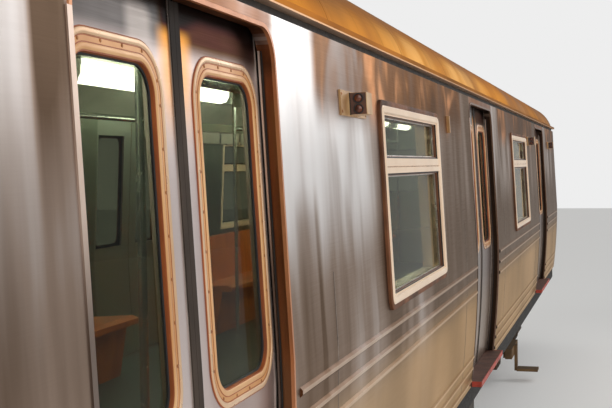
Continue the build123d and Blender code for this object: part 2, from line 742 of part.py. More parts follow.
with BuildPart() as anticlimbers:
    root = BODY_END + ANTICLIMBER_REACH / 3
    for end, side in ENDS:
        for n in range(ANTICLIMBER_RIBS):
            top = FLOOR_Z - n * (ANTICLIMBER_RIB + ANTICLIMBER_GAP)
            with BuildSketch(Plane.XY.offset(top - ANTICLIMBER_RIB)):
                with BuildLine():
                    ThreePointArc(
                        (side * root, -ANTICLIMBER_HALF_WIDTH),
                        (side * (BODY_END + ANTICLIMBER_REACH), 0),
                        (side * root, ANTICLIMBER_HALF_WIDTH),
                    )
                    Polyline(
                        (side * root, ANTICLIMBER_HALF_WIDTH),
                        (side * BODY_END, ANTICLIMBER_HALF_WIDTH),
                        (side * BODY_END, -ANTICLIMBER_HALF_WIDTH),
                        (side * root, -ANTICLIMBER_HALF_WIDTH),
                    )
                make_face()
            extrude(amount=ANTICLIMBER_RIB)
        depth = ANTICLIMBER_RIBS * ANTICLIMBER_RIB + (ANTICLIMBER_RIBS - 1) * ANTICLIMBER_GAP
        core = sorted((side * BODY_END, side * root))
        block(core, (-ANTICLIMBER_HALF_WIDTH, ANTICLIMBER_HALF_WIDTH), (FLOOR_Z - depth, FLOOR_Z))
save(anticlimbers.part, "anticlimbers")

# Equipment under the floor
EQUIPMENT_SIDE_Y = BELT_HALF_WIDTH - EQUIPMENT_IN
# each box: middle along X, length, side, width, drop
EQUIPMENT = (
    (-5250, 1250, -1, 700, 520),
    (-3450, 1700, -1, 820, 600),
    (-1400, 1500, -1, 640, 480),
    (700, 1700, -1, 820, 600),
    (2700, 1300, -1, 620, 520),
    (-4900, 1500, 1, 760, 560),
    (-2900, 1300, 1, 620, 600),
    (-850, 1600, 1, 760, 520),
    (1150, 1300, 1, 620, 480),
)


def equipment_box(x, length, side, width, drop):
    """A box with its lower outer edge cut back, and a row of doors on its outer face."""
    outer, inner = side * EQUIPMENT_SIDE_Y, side * (EQUIPMENT_SIDE_Y - width)
    low = HANGER_Z - drop
    with BuildSketch(Plane.YZ.offset(x - length / 2)) as section:
        with BuildLine():
            Polyline(
                (inner, HANGER_Z),
                (outer, HANGER_Z),
                (outer, low + BOX_CHAMFER),
                (outer - side * BOX_CHAMFER, low),
                (inner, low),
                close=True,
            )
        make_face()
    extrude(section.sketch, amount=length)
    doors = round(length / BOX_DOOR_WIDTH)
    pitch = length / doors
    face = sorted((outer, outer + side * BOX_DOOR))
    for n in range(doors):
        start = x - length / 2 + n * pitch
        door = (start + BOX_DOOR_GAP, start + pitch - BOX_DOOR_GAP)
        block(door, face, (low + BOX_CHAMFER + BOX_DOOR_GAP, HANGER_Z - 2 * BOX_DOOR_GAP))


with BuildPart() as equipment_boxes:
    for place in EQUIPMENT:
        equipment_box(*place)
save(equipment_boxes.part, "equipment_boxes")

with BuildPart() as resistor_grids:
    length, width, drop = GRID_SIZE
    y = (EQUIPMENT_SIDE_Y - width, EQUIPMENT_SIDE_Y)
    for n in range(GRID_COUNT):
        start = GRID_START_X + n * GRID_PITCH - length / 2
        for low in (HANGER_Z - GRID_PLATE, HANGER_Z - drop):
            block((start, start + length), y, (low, low + GRID_PLATE))
        for slat in range(GRID_SLATS):
            x = start + slat * (length - GRID_SLAT) / (GRID_SLATS - 1)
            block((x, x + GRID_SLAT), y, (HANGER_Z - drop, HANGER_Z))
save(resistor_grids.part, "resistor_grids")

TANK_Z = HANGER_Z - TANK_RADIUS - TANK_DROP
with BuildPart() as air_tanks:
    for bay in (-3, -1):
        x = bay * CROSS_MEMBER_PITCH
        reach = CROSS_MEMBER_PITCH / 2
        bar((x - reach, TANK_Y, TANK_Z), (x + reach, TANK_Y, TANK_Z), TANK_RADIUS)
        half = TANK_STRAP[1] / 2
        for strap in (x - reach, x + reach - TANK_STRAP[0]):
            block((strap, strap + TANK_STRAP[0]), (TANK_Y - half, TANK_Y + half), (TANK_Z, HANGER_Z))
save(air_tanks.part, "air_tanks")

with BuildPart() as compressor:
    length, width, depth = COMPRESSOR_MOUNT
    start = COMPRESSOR_X - length / 2
    shelf = HANGER_Z - depth
    block((start, start + length), (COMPRESSOR_Y - width / 2, COMPRESSOR_Y + width / 2), (shelf, HANGER_Z))
    length, width, depth = COMPRESSOR_BLOCK
    y = (COMPRESSOR_Y - width / 2, COMPRESSOR_Y + width / 2)
    block((COMPRESSOR_X - length, COMPRESSOR_X), y, (shelf - depth, shelf))
    radius, length = COMPRESSOR_MOTOR
    motor_z = shelf - depth / 2
    bar((COMPRESSOR_X, COMPRESSOR_Y, motor_z), (COMPRESSOR_X + length, COMPRESSOR_Y, motor_z), radius)
    saddle, width = COMPRESSOR_SADDLE
    start = COMPRESSOR_X + (length - saddle) / 2
    block((start, start + saddle), (COMPRESSOR_Y - width / 2, COMPRESSOR_Y + width / 2), (motor_z, shelf))
save(compressor.part, "compressor")

# Saloon: ceiling, lights, seats, poles and the cab
with BuildPart() as ceiling:
    with BuildSketch(Plane.YZ.offset(-BODY_INNER)):
        seat_y = skin_y(CEILING_SIDE_Z + CEILING_THICKNESS, WALL) - SEAT
        with BuildLine():
            Polyline(
                (-seat_y, CEILING_SIDE_Z),
                (-CEILING_FLAT, CEILING_Z),
                (CEILING_FLAT, CEILING_Z),
                (seat_y, CEILING_SIDE_Z),
                (seat_y, CEILING_SIDE_Z + CEILING_THICKNESS),
                (CEILING_FLAT, CEILING_Z + CEILING_THICKNESS),
                (-CEILING_FLAT, CEILING_Z + CEILING_THICKNESS),
                (-seat_y, CEILING_SIDE_Z + CEILING_THICKNESS),
                close=True,
            )
        make_face()
    extrude(amount=2 * BODY_INNER)
save(ceiling.part, "ceiling")

with BuildPart() as ceiling_lights:
    for edge in (-1, 1):
        y = edge * LIGHT_Y
        block(
            (CAB_WALL_X + 300, BODY_INNER - 200),
            (y - LIGHT_SIZE[0] / 2, y + LIGHT_SIZE[0] / 2),
            (CEILING_Z - LIGHT_SIZE[1], CEILING_Z),
        )
save(ceiling_lights.part, "ceiling_lights")

# The benches: one between each pair of doorways and one at the plain end, on each side
BENCH_IN = DOOR_WIDTH / 2 + SEAT_END
BENCHES = [(a + BENCH_IN, b - BENCH_IN) for a, b in zip(DOOR_XS, DOOR_XS[1:])]
BENCHES.append((DOOR_XS[-1] + BENCH_IN, BODY_INNER - BENCH_END_GAP))
SEAT_BACK_Y = skin_y(FLOOR_Z, WALL) - SEAT
SEAT_FRONT_Y = SEAT_BACK_Y - SEAT_DEPTH
with BuildPart() as right_seats:
    for x0, x1 in BENCHES:
        with BuildSketch(Plane.YZ.offset(x0)):
            with BuildLine():
                Polyline(
                    (-SEAT_BACK_Y, FLOOR_Z),
                    (-SEAT_BACK_Y, FLOOR_Z + SEAT_BACK_TOP),
                    (-SEAT_BACK_Y + SEAT_SHELL, FLOOR_Z + SEAT_BACK_TOP),
                    (-SEAT_BACK_Y + 2 * SEAT_SHELL, FLOOR_Z + SEAT_HEIGHT - 10),
                    (-SEAT_FRONT_Y - SEAT_SHELL, FLOOR_Z + SEAT_HEIGHT + 12),
                    (-SEAT_FRONT_Y, FLOOR_Z + SEAT_HEIGHT - 6),
                    (-SEAT_FRONT_Y, FLOOR_Z + SEAT_HEIGHT - SEAT_SHELL),
                    (-SEAT_FRONT_Y - 90, FLOOR_Z + SEAT_HEIGHT - SEAT_SHELL),
                    (-SEAT_FRONT_Y - 150, FLOOR_Z),
                    close=True,
                )
            make_face()
        extrude(amount=x1 - x0)
save(both_sides(right_seats.part), "seats")

# Poles at the ends of each bench, with a rail between them
with BuildPart() as right_poles:
    for x0, x1 in BENCHES:
        y = -SEAT_FRONT_Y + POLE_IN
        xs = (x0 + POLE_END, x1 - POLE_END)
        for x in xs:
            bar((x, y, FLOOR_Z), (x, y, CEILING_Z), POLE_RADIUS)
        reach = POLE_RADIUS + SEAT
        bar((xs[0] + reach, y, GRAB_RAIL_Z), (xs[1] - reach, y, GRAB_RAIL_Z), POLE_RADIUS)
save(both_sides(right_poles.part), "grab_poles")

with BuildPart() as cab_partition:
    with BuildSketch(Plane.YZ.offset(CAB_WALL_X)):
        with BuildLine():
            for edge in (-1, 1):
                shoulder = CEILING_SIDE_Z - CEILING_THICKNESS
                wall_curve(FLOOR_Z, shoulder, WALL + SEAT, edge)
                Line((edge * skin_y(shoulder, WALL + SEAT), shoulder), (edge * CEILING_FLAT, CEILING_Z))
            Line((-CEILING_FLAT, CEILING_Z), (CEILING_FLAT, CEILING_Z))
            Line((-skin_y(FLOOR_Z, WALL + SEAT), FLOOR_Z), (skin_y(FLOOR_Z, WALL + SEAT), FLOOR_Z))
        make_face()
    extrude(amount=CAB_WALL)
    block(
        (CAB_WALL_X, CAB_WALL_X + CAB_WALL),
        (-CAB_DOOR_WIDTH / 2, CAB_DOOR_WIDTH / 2),
        (FLOOR_Z, FLOOR_Z + CAB_DOOR_TOP),
        Mode.SUBTRACT,
    )
save(cab_partition.part, "cab_partition")

with BuildPart() as cab_console:
    length, width, height = CONSOLE
    back, front, top = -BODY_INNER, length - BODY_INNER, FLOOR_Z + height
    with BuildSketch(Plane.XZ.offset(BELT_HALF_WIDTH - CONSOLE_IN)):
        with BuildLine():
            Polyline(
                (back, FLOOR_Z),
                (back, top),
                (back + CONSOLE_TOP, top),
                (front, top - CONSOLE_SLOPE),
                (front, top - CONSOLE_SLOPE - CONSOLE_FASCIA),
                (front - CONSOLE_KNEE, FLOOR_Z),
                close=True,
            )
        make_face()
    extrude(amount=width)
save(cab_console.part, "cab_console")


# Trucks
def wheelset(x):
    """An axle with its two flanged wheels, as one solid of revolution about the axle."""
    back = BACK_TO_BACK / 2
    front = back + WHEEL_WIDTH
    with BuildPart() as wheels:
        with BuildSketch(Plane(origin=(x, 0, AXLE_Z), x_dir=(0, 1, 0), z_dir=(-1, 0, 0))):
            with BuildLine():
                Polyline(
                    (0, 0),
                    (0, AXLE_RADIUS),
                    (back, AXLE_RADIUS),
                    (back, WHEEL_RADIUS + FLANGE_HEIGHT),
                    (back + FLANGE_WIDTH, WHEEL_RADIUS + FLANGE_HEIGHT),
                    (back + FLANGE_WIDTH, WHEEL_RADIUS),
                    (front, WHEEL_RADIUS),
                    (front, WHEEL_RADIUS - RIM_DEPTH),
                    (front - WHEEL_DISH, WHEEL_RADIUS - RIM_DEPTH),
                    (front - WHEEL_DISH, JOURNAL_RADIUS),
                    (JOURNAL_END, JOURNAL_RADIUS),
                    (JOURNAL_END, 0),
                    close=True,
                )
            make_face()
        revolve(axis=Axis((x, 0, AXLE_Z), (0, 1, 0)))
        mirror(about=Plane.XZ)
    return wheels.part


def side_frame(x, edge):
    """One cranked side frame, from the arm over one journal box to the arm over the other."""
    half_base, near = WHEELBASE / 2, edge * SIDE_FRAME_Y - SIDE_FRAME_WIDTH / 2
    arm_low, arm_shoulder, arm_top = FRAME_ARM
    waist = SPRING_RADIUS + FRAME_WAIST
    half = [
        (waist, FRAME_TOP_Z),
        (half_base - FRAME_END, AXLE_Z + arm_top),
        (half_base + FRAME_END / 2, AXLE_Z + arm_top),
        (half_base + FRAME_END, AXLE_Z + arm_shoulder),
        (half_base + FRAME_END, AXLE_Z + arm_low),
        (half_base - FRAME_KNEE, AXLE_Z + arm_low),
        (waist, AXLE_Z - FRAME_LOW),
    ]
    outline = half + [(-a, b) for a, b in reversed(half)]
    with BuildSketch(Plane.XZ.offset(-near)) as profile:
        with BuildLine():
            Polyline(*[(x + a, b) for a, b in outline], close=True)
        make_face()
    extrude(profile.sketch, amount=-SIDE_FRAME_WIDTH)


def brake_unit(x, wheel, edge):
    """A brake cylinder on the cross beam, with a shoe whose face follows the wheel's tread."""
    toward = 1 if wheel > x else -1
    radius, tilt = WHEEL_RADIUS + BRAKE_GAP, radians(BRAKE_WRAP)
    y = edge * (BACK_TO_BACK + WHEEL_WIDTH + BRAKE_SET_OUT) / 2
    with BuildSketch(Plane.XZ.offset(-y - BRAKE_SHOE[1] / 2)) as shoe:
        with BuildLine():
            arcs = [
                [(wheel - toward * r * cos(a), AXLE_Z + r * sin(a)) for a in (-tilt, 0, tilt)]
                for r in (radius, radius + BRAKE_SHOE[0])
            ]
            for arc in arcs:
                ThreePointArc(*arc)
            for n in (0, 2):
                Line(arcs[0][n], arcs[1][n])
        make_face()
    extrude(shoe.sketch, amount=BRAKE_SHOE[1])
    start = x + toward * (CROSS_BEAM_X + CROSS_BEAM[0] / 2)
    end = wheel - toward * (radius + BRAKE_SHOE[0] / 2)
    bar((start, y, AXLE_Z + BRAKE_CYLINDER[1]), (end, y, AXLE_Z + BRAKE_CYLINDER[1]), BRAKE_CYLINDER[0])


def truck_frame(x):
    """Two side frames over the journal boxes, two box-section cross beams and a brake unit at each wheel."""
    half_base = WHEELBASE / 2
    box_long, box_wide, box_high = JOURNAL_BOX
    outer = SIDE_FRAME_Y + box_wide
    with BuildPart() as frame:
        for edge in (-1, 1):
            side_frame(x, edge)
            middle = edge * SIDE_FRAME_Y
            for wheel in (x - half_base, x + half_base):
                y = (middle - box_wide / 2, middle + box_wide / 2)
                z = (AXLE_Z - box_high / 2, AXLE_Z + FRAME_ARM[0] + SEAT)
                block((wheel - box_long / 2, wheel + box_long / 2), y, z)
            seat = (middle - SPRING_RADIUS, middle + SPRING_RADIUS)
            block((x - SPRING_RADIUS, x + SPRING_RADIUS), seat, (FRAME_TOP_Z, FRAME_TOP_Z + SPRING_SEAT))
        width, height = CROSS_BEAM
        low = AXLE_Z + CROSS_BEAM_Z - height / 2
        for beam in (x - CROSS_BEAM_X, x + CROSS_BEAM_X):
            block((beam - width / 2, beam + width / 2), (-SIDE_FRAME_Y, SIDE_FRAME_Y), (low, low + height))
        for wheel in (x - half_base, x + half_base):
            for edge in (-1, 1):
                brake_unit(x, wheel, edge)
            bar((wheel, -outer, AXLE_Z), (wheel, outer, AXLE_Z), JOURNAL_RADIUS + SEAT, Mode.SUBTRACT)
    return frame.part


def truck_bolster(x):
    """The beam on the air springs, deeper in the middle, bored for the body's centre pin."""
    length, width, height = TRUCK_BOLSTER
    top = BOLSTER_Z - CLEAR
    low = top - height
    with BuildPart() as bolster:
        with BuildSketch(Plane.YZ.offset(x - length / 2)):
            with BuildLine():
                Polyline(
                    (-width / 2, top),
                    (-width / 2, low),
                    (-BOLSTER_BELLY, low),
                    (BOLSTER_TAPER - BOLSTER_BELLY, low - BOLSTER_DROP),
                    (BOLSTER_BELLY - BOLSTER_TAPER, low - BOLSTER_DROP),
                    (BOLSTER_BELLY, low),
                    (width / 2, low),
                    (width / 2, top),
                    close=True,
                )
            make_face()
        extrude(amount=length)
        bar((x, 0, low - BOLSTER_DROP), (x, 0, top), CENTRE_PIN_RADIUS + SEAT, Mode.SUBTRACT)
    return bolster.part


def air_springs(x):
    """Two rubber springs between the frame and the bolster, each with its bellows on a narrower piston."""
    low = FRAME_TOP_Z + SPRING_SEAT
    high = BOLSTER_Z - CLEAR - TRUCK_BOLSTER[2]
    piston_radius, piston_height = SPRING_PISTON
    with BuildPart() as springs:
        for y in (-SIDE_FRAME_Y, SIDE_FRAME_Y):
            bar((x, y, low), (x, y, low + piston_height), piston_radius)
            bar((x, y, low + piston_height), (x, y, high), SPRING_RADIUS)
    return springs.part


def traction_motors(x):
    """A motor beside each axle, hung on a cross beam, with its gear case round the axle."""
    with BuildPart() as motors:
        for end in (-1, 1):
            axle = x + end * WHEELBASE / 2
            middle = axle - end * (AXLE_RADIUS + MOTOR_AXLE_GAP + MOTOR_RADIUS)
            motor = (-end * MOTOR_Y, end * (MOTOR_LENGTH - MOTOR_Y))
            bar((middle, motor[0], AXLE_Z + MOTOR_UP), (middle, motor[1], AXLE_Z + MOTOR_UP), MOTOR_RADIUS)
            case_start = motor[1] if end > 0 else motor[1] - GEAR_CASE_WIDTH
            with BuildSketch(Plane.XZ.offset(-case_start)) as case:
                with Locations((axle, AXLE_Z)):
                    RegularPolygon(GEAR_CASE_RADIUS, 8, rotation=22.5)
                with Locations((middle, AXLE_Z + MOTOR_UP)):
                    RegularPolygon(GEAR_CASE_SMALL, 8, rotation=22.5)
                make_hull()
            extrude(case.sketch, amount=-GEAR_CASE_WIDTH)
            nose = x + end * (CROSS_BEAM_X + CROSS_BEAM[0] / 2 + SEAT)
            centre = (motor[0] + motor[1]) / 2
            lug_z = AXLE_Z + CROSS_BEAM_Z - MOTOR_LUG[1] / 2
            block(
                sorted((middle, nose)),
                (centre - MOTOR_LUG[0] / 2, centre + MOTOR_LUG[0] / 2),
                (lug_z, lug_z + MOTOR_LUG[1]),
            )
            reach = MOTOR_LENGTH + GEAR_CASE_WIDTH
            bar((axle, -reach, AXLE_Z), (axle, reach, AXLE_Z), AXLE_RADIUS + SEAT, Mode.SUBTRACT)
    return motors.part


def contact_shoes(x):
    """The beam and collector shoe on each side of a truck."""
    frame_face = SIDE_FRAME_Y + SIDE_FRAME_WIDTH / 2
    low = AXLE_Z - SHOE_BEAM_DROP
    with BuildPart() as shoes:
        for edge in (-1, 1):
            bracket, beam, post, shoe = [], [], [], []
            place = frame_face
            depths = SHOE_BRACKET[1], SHOE_BEAM[1], SHOE_POST[1], SHOE[1]
            for y, depth in zip((bracket, beam, post, shoe), depths):
                y.extend(sorted((edge * place, edge * (place + depth))))
                place += depth
            for middle in (x - SHOE_BRACKET_X, x + SHOE_BRACKET_X):
                half = SHOE_BRACKET[0] / 2
                block((middle - half, middle + half), bracket, (low, AXLE_Z + FRAME_ARM[0]))
            block((x - SHOE_BEAM[0] / 2, x + SHOE_BEAM[0] / 2), beam, (low, low + SHOE_BEAM[2]))
            block((x - SHOE_POST[0] / 2, x + SHOE_POST[0] / 2), post, (SHOE_Z, low + SHOE_BEAM[2]))
            block((x - SHOE[0] / 2, x + SHOE[0] / 2), shoe, (SHOE_Z, SHOE_Z + SHOE[2]))
    return shoes.part


for end, side in ENDS:
    x = side * TRUCK_X
    save(truck_frame(x), f"truck_frame_{end}")
    save(truck_bolster(x), f"truck_bolster_{end}")
    save(air_springs(x), f"air_springs_{end}")
    save(traction_motors(x), f"traction_motors_{end}")
    save(contact_shoes(x), f"contact_shoes_{end}")
for number, axle_x in enumerate(
    (side * TRUCK_X + axle * WHEELBASE / 2 for side in (-1, 1) for axle in (-1, 1)), start=1
):
    save(wheelset(axle_x), f"wheelset_{number}")


# Couplers
def coupler(side):
    """A drawbar that swings on its pivot pin, with a chamfered head bored for a coupling pin."""
    pivot, face = side * COUPLER_PIVOT_X, side * COUPLER_FACE_X
    length, width, height = COUPLER_HEAD
    nose_length, nose_width, nose_height = COUPLER_NOSE
    eye_radius, eye_half = DRAWBAR_EYE
    with BuildPart() as hook:
        bar((pivot, 0, COUPLER_Z), (face - side * length / 2, 0, COUPLER_Z), DRAWBAR_RADIUS)
        bar((pivot, 0, COUPLER_Z - eye_half), (pivot, 0, COUPLER_Z + eye_half), eye_radius)
        with BuildSketch(Plane.YZ.offset(face - side * length)) as head:
            with Locations((0, COUPLER_Z)):
                Rectangle(width, height)
            chamfer(head.vertices(), COUPLER_CHAMFER)
        extrude(head.sketch, amount=side * (length - nose_length))
        nose_low = COUPLER_Z - nose_height / 2
        nose = sorted((face - side * nose_length, face))
        block(nose, (-nose_width / 2, nose_width / 2), (nose_low, nose_low + nose_height))
        pin_x = face - side * nose_length / 2
        bores = (pivot, eye_half, PIVOT_PIN_RADIUS + SEAT), (pin_x, nose_height / 2, COUPLER_PIN_RADIUS)
        for x, half, radius in bores:
            bar((x, 0, COUPLER_Z - half), (x, 0, COUPLER_Z + half), radius, Mode.SUBTRACT)
    return hook.part


for end, side in ENDS:
    save(coupler(side), f"coupler_{end}")
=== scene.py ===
import json
import math

import bpy
from mathutils import Matrix, Vector

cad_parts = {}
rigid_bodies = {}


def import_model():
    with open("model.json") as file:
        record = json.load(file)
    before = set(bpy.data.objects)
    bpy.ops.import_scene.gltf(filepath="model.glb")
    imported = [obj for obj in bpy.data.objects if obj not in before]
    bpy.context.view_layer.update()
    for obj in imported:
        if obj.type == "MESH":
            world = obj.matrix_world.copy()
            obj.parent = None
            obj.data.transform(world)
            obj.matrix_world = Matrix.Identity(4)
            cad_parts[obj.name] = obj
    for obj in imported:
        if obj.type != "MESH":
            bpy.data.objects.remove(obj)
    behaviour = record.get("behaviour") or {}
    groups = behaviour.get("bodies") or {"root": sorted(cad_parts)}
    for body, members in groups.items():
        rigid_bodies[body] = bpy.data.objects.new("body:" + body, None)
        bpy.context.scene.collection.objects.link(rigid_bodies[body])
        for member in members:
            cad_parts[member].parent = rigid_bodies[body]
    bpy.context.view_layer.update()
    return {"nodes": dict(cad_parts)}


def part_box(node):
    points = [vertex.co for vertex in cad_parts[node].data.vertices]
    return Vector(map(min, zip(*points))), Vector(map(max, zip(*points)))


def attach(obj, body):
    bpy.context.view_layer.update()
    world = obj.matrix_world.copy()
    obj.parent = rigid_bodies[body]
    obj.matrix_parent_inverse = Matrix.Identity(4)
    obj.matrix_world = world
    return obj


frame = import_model()
nodes = frame["nodes"]

# Sizes of the car's section, in metres, as the frame has them
FLOOR_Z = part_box("floor")[1].z
SKIRT_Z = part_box("side_bays_right")[0].z
BELT_Z = FLOOR_Z + 0.85
SILL_OUT_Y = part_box("door_sills")[1].y
HEADER_TOP_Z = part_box("door_headers")[1].z
BODY_END_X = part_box("end_wall_plain")[1].x
BODY_INNER_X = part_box("end_wall_plain")[0].x
BELT_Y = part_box("end_wall_plain")[1].y
SKIRT_IN = 0.055
SKIRT_RADIUS = ((BELT_Z - SKIRT_Z) ** 2 + SKIRT_IN**2) / (2 * SKIRT_IN)
LEAN = math.radians(3)
LEAF_DEPTH = 0.056
LEAF_THICKNESS = 0.038

# Places along the car
DOOR_XS = (-8.385, -2.795, 2.795, 8.385)
DOOR_HALF = 0.635
DOOR_TOP_Z = FLOOR_Z + 1.905
DOOR_CORNER = 0.1
DOOR_SPACING = 5.59
# each window: middle along X, width
WINDOWS = ((-DOOR_SPACING, 1.505), (0.0, 1.505), (DOOR_SPACING, 1.505), (-10.51, 0.56))
WINDOW_Z = FLOOR_Z + 1.318
WINDOW_HEIGHT = 0.905
TRANSOM_UP = 0.17
DOOR_GLASS = (0.42, 0.85)
DOOR_GLASS_X = 0.35
DOOR_GLASS_CORNER = 0.08
RING = 0.049
RIBS = (0.79, 0.705, 0.62, 0.18, 0.1, 0.012)
SEAM_XS = (-10.06, -7.22, -3.96, -1.63, 1.63, 3.96, 7.22, 10.3)
GUARD_LIGHT_XS = (-9.98, -6.79, -1.20, 6.79, 9.98)
GUARD_LIGHT_Z = FLOOR_Z + 1.725
CEILING_LIGHT_PITCH = 1.5
LIGHT_Y = 0.56
# a lamp cover's section: places across and up from the ceiling light's underside
COVER_PROFILE = (
    (-0.076, 0.002),
    (-0.072, -0.05),
    (-0.05, -0.088),
    (0.0, -0.1),
    (0.05, -0.088),
    (0.072, -0.05),
    (0.076, 0.002),
)

# Places at the ends, in the trucks and under the floor
# each end: its name and its side of the car along X
ENDS = (("cab", -1), ("plain", 1))
END_WINDOW_PLACE = (0.82, FLOOR_Z + 1.4)
END_WINDOW_SIZE = (0.52, 0.64)
END_DOOR_GLASS = (0.47, 0.82)
END_DOOR_GLASS_Z = FLOOR_Z + 1.33
IRON_Y = 1.34
# each lamp: end of the car, height, distance from the middle
END_LAMPS = ((-1, 0.52, 0.64), (-1, 0.52, 0.83), (-1, 0.3, 1.18), (1, 0.3, 1.18))
TRUCK_X = BODY_END_X - 2.95
AXLE_OFFSET = 1.041
AXLE_XS = [side * TRUCK_X + axle * AXLE_OFFSET for side in (-1, 1) for axle in (-1, 1)]
AXLE_Z = 0.46
WHEEL_FACE_Y = 0.766
SIDE_FRAME_Y = 0.985
HANGER_Z = SKIRT_Z - 0.12
BOX_OUT_Y = 1.3
PIPE_END_X = 7.5
# each box under the floor: middle along X, length, side, drop
BOXES = (
    (-5.25, 1.25, -1, 0.52),
    (-3.45, 1.70, -1, 0.60),
    (-1.40, 1.50, -1, 0.48),
    (0.70, 1.70, -1, 0.60),
    (2.70, 1.30, -1, 0.52),
    (-4.90, 1.50, 1, 0.56),
    (-2.90, 1.30, 1, 0.60),
    (-0.85, 1.60, 1, 0.52),
    (1.15, 1.30, 1, 0.48),
)

# The photo's camera, from a fit of the car's doors, windows and gutter
CAMERA_AT = Vector((-5.327, -2.474, 2.662))
CAMERA_YAW = math.radians(16.28)
CAMERA_PITCH = math.radians(-1.98)
CAMERA_ROLL = math.radians(-0.8)
FOCAL_PIXELS = 1095.4
PHOTO_WIDTH = 612


def srgb(r, g, b):
    """A colour given as 0 to 255 display values, as linear values."""
    return tuple(((c / 255 + 0.055) / 1.055) ** 2.4 if c > 10 else c / 255 / 12.92 for c in (r, g, b))


def skin_y(z):
    """Distance of the side's skin from the middle of the car at a height."""
    if z >= BELT_Z:
        return BELT_Y - (z - BELT_Z) * math.tan(LEAN)
    return BELT_Y - SKIRT_RADIUS + math.sqrt(SKIRT_RADIUS**2 - (BELT_Z - z) ** 2)


def wall_point(x, z, out=0.0):
    """A point on the right side at a height, moved out from the skin along its normal."""
    tilt = LEAN if z >= BELT_Z else -math.asin((BELT_Z - z) / SKIRT_RADIUS)
    return (x, -skin_y(z) - out * math.cos(tilt), z + out * math.sin(tilt))


def panel_point(x, z, right, up, out):
    """A point near the flat upper wall of the right side, from a place on it."""
    return (
        x + right,
        -skin_y(z) + up * math.sin(LEAN) - out * math.cos(LEAN),
        z + up * math.cos(LEAN) + out * math.sin(LEAN),
    )


# Mesh pieces
BLOCK_FACES = ((0, 1, 3, 2), (4, 6, 7, 5), (0, 4, 5, 1), (2, 3, 7, 6), (0, 2, 6, 4), (1, 5, 7, 3))


class Piece:
    """Vertices and faces gathered for one object, each face with the number of its material."""

    def __init__(self):
        self.verts = []
        self.faces = []
        self.paints = []

    def add(self, verts, faces, paint=0):
        start = len(self.verts)
        self.verts += [tuple(v) for v in verts]
        self.faces += [tuple(start + i for i in f) for f in faces]
        self.paints += [paint] * len(faces)

    def mirror(self):
        """The same piece on the other side of the car."""
        copy = Piece()
        copy.verts = [(x, -y, z) for x, y, z in self.verts]
        copy.faces = [tuple(reversed(f)) for f in self.faces]
        copy.paints = list(self.paints)
        return copy

    def join(self, other):
        self.add(other.verts, other.faces)
        self.paints[-len(other.faces):] = other.paints

    def build(self, name, body, slot, paints, smooth=False, bevel=0.0):
        mesh = bpy.data.meshes.new(name)
        mesh.from_pydata(self.verts, [], self.faces)
        for paint in paints:
            mesh.materials.append(paint)
        mesh.polygons.foreach_set("material_index", self.paints)
        if smooth:
            mesh.shade_smooth()
            mesh.set_sharp_from_angle(angle=math.radians(35))
        mesh.update()
        piece = bpy.data.objects.new(name, mesh)
        bpy.context.scene.collection.objects.link(piece)
        if bevel:
            edge = piece.modifiers.new("edge", "BEVEL")
            edge.width = bevel
            edge.segments = 2
            edge.limit_method = "ANGLE"
        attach(piece, body)
        return piece


def both_sides(piece):
    """A right-hand piece joined with its left-hand copy."""
    pair = Piece()
    pair.join(piece)
    pair.join(piece.mirror())
    return pair


def add_block(piece, x, y, z, paint=0):
    """A block between two limits on each axis."""
    (x0, x1), (y0, y1), (z0, z1) = (sorted(pair) for pair in (x, y, z))
    corners = [(a, b, c) for c in (z0, z1) for b in (y0, y1) for a in (x0, x1)]
    faces = [(0, 2, 3, 1), (4, 5, 7, 6), (0, 1, 5, 4), (2, 6, 7, 3), (0, 4, 6, 2), (1, 3, 7, 5)]
    piece.add(corners, faces, paint)


def add_grid(piece, rows, closed_rows=False, closed_ends=False, paint=0):
    """A skin over rows of points, with each row closed on itself and the ends capped where asked."""
    count = len(rows[0])
    verts = [p for row in rows for p in row]
    faces = []
    for i in range(len(rows) - 1):
        for j in range(count if closed_rows else count - 1):
            k = (j + 1) % count
            faces.append((i * count + j, i * count + k, (i + 1) * count + k, (i + 1) * count + j))
    if closed_ends:
        faces.append(tuple(reversed(range(count))))
        faces.append(tuple((len(rows) - 1) * count + j for j in range(count)))
    piece.add(verts, faces, paint)


def rounded_outline(width, height, corner, steps=7):
    """Points of a rounded rectangle, anticlockwise, each with its outward direction."""
    outline = []
    for quarter, (sx, sy) in enumerate(((1, 1), (-1, 1), (-1, -1), (1, -1))):
        for step in range(steps + 1):
            angle = math.radians(90) * (quarter + step / steps)
            across, up = math.cos(angle), math.sin(angle)
            outline.append(
                (
                    sx * (width / 2 - corner) + corner * across,
                    sy * (height / 2 - corner) + corner * up,
                    across,
                    up,
                )
            )
    return outline


def add_ring(piece, place, outline, profile, paint=0):
    """A ring along an outline. The profile is a closed loop of (outwards, proud) offsets, clockwise."""
    rows = [[place(px + nx * o, py + ny * o, p) for o, p in profile] for px, py, nx, ny in outline]
    rows.append(rows[0])
    add_grid(piece, rows, closed_rows=True, paint=paint)


def add_turned(piece, place, profile, sides=20, paint=0):
    """A turned form: a profile of (radius, height) about the third axis of the place."""
    rows = []
    for n in range(sides + 1):
        angle = math.tau * n / sides
        rows.append([place(r * math.cos(angle), r * math.sin(angle), h) for r, h in profile])
    add_grid(piece, rows, paint=paint)


def add_tube(piece, points, radius, sides=8, paint=0):
    """A round tube along a run of points."""
    path = [Vector(p) for p in points]
    rows = []
    for n, point in enumerate(path):
        before, after = path[max(n - 1, 0)], path[min(n + 1, len(path) - 1)]
        along = (after - before).normalized()
        across = along.cross(Vector((0, 0, 1)) if abs(along.z) < 0.9 else Vector((1, 0, 0))).normalized()
        up = across.cross(along)
        rows.append(
            [
                point + radius * (
                    across * math.cos(math.tau * k / sides) + up * math.sin(math.tau * k / sides)
                )
                for k in range(sides)
            ]
        )
    add_grid(piece, rows, closed_rows=True, closed_ends=True, paint=paint)


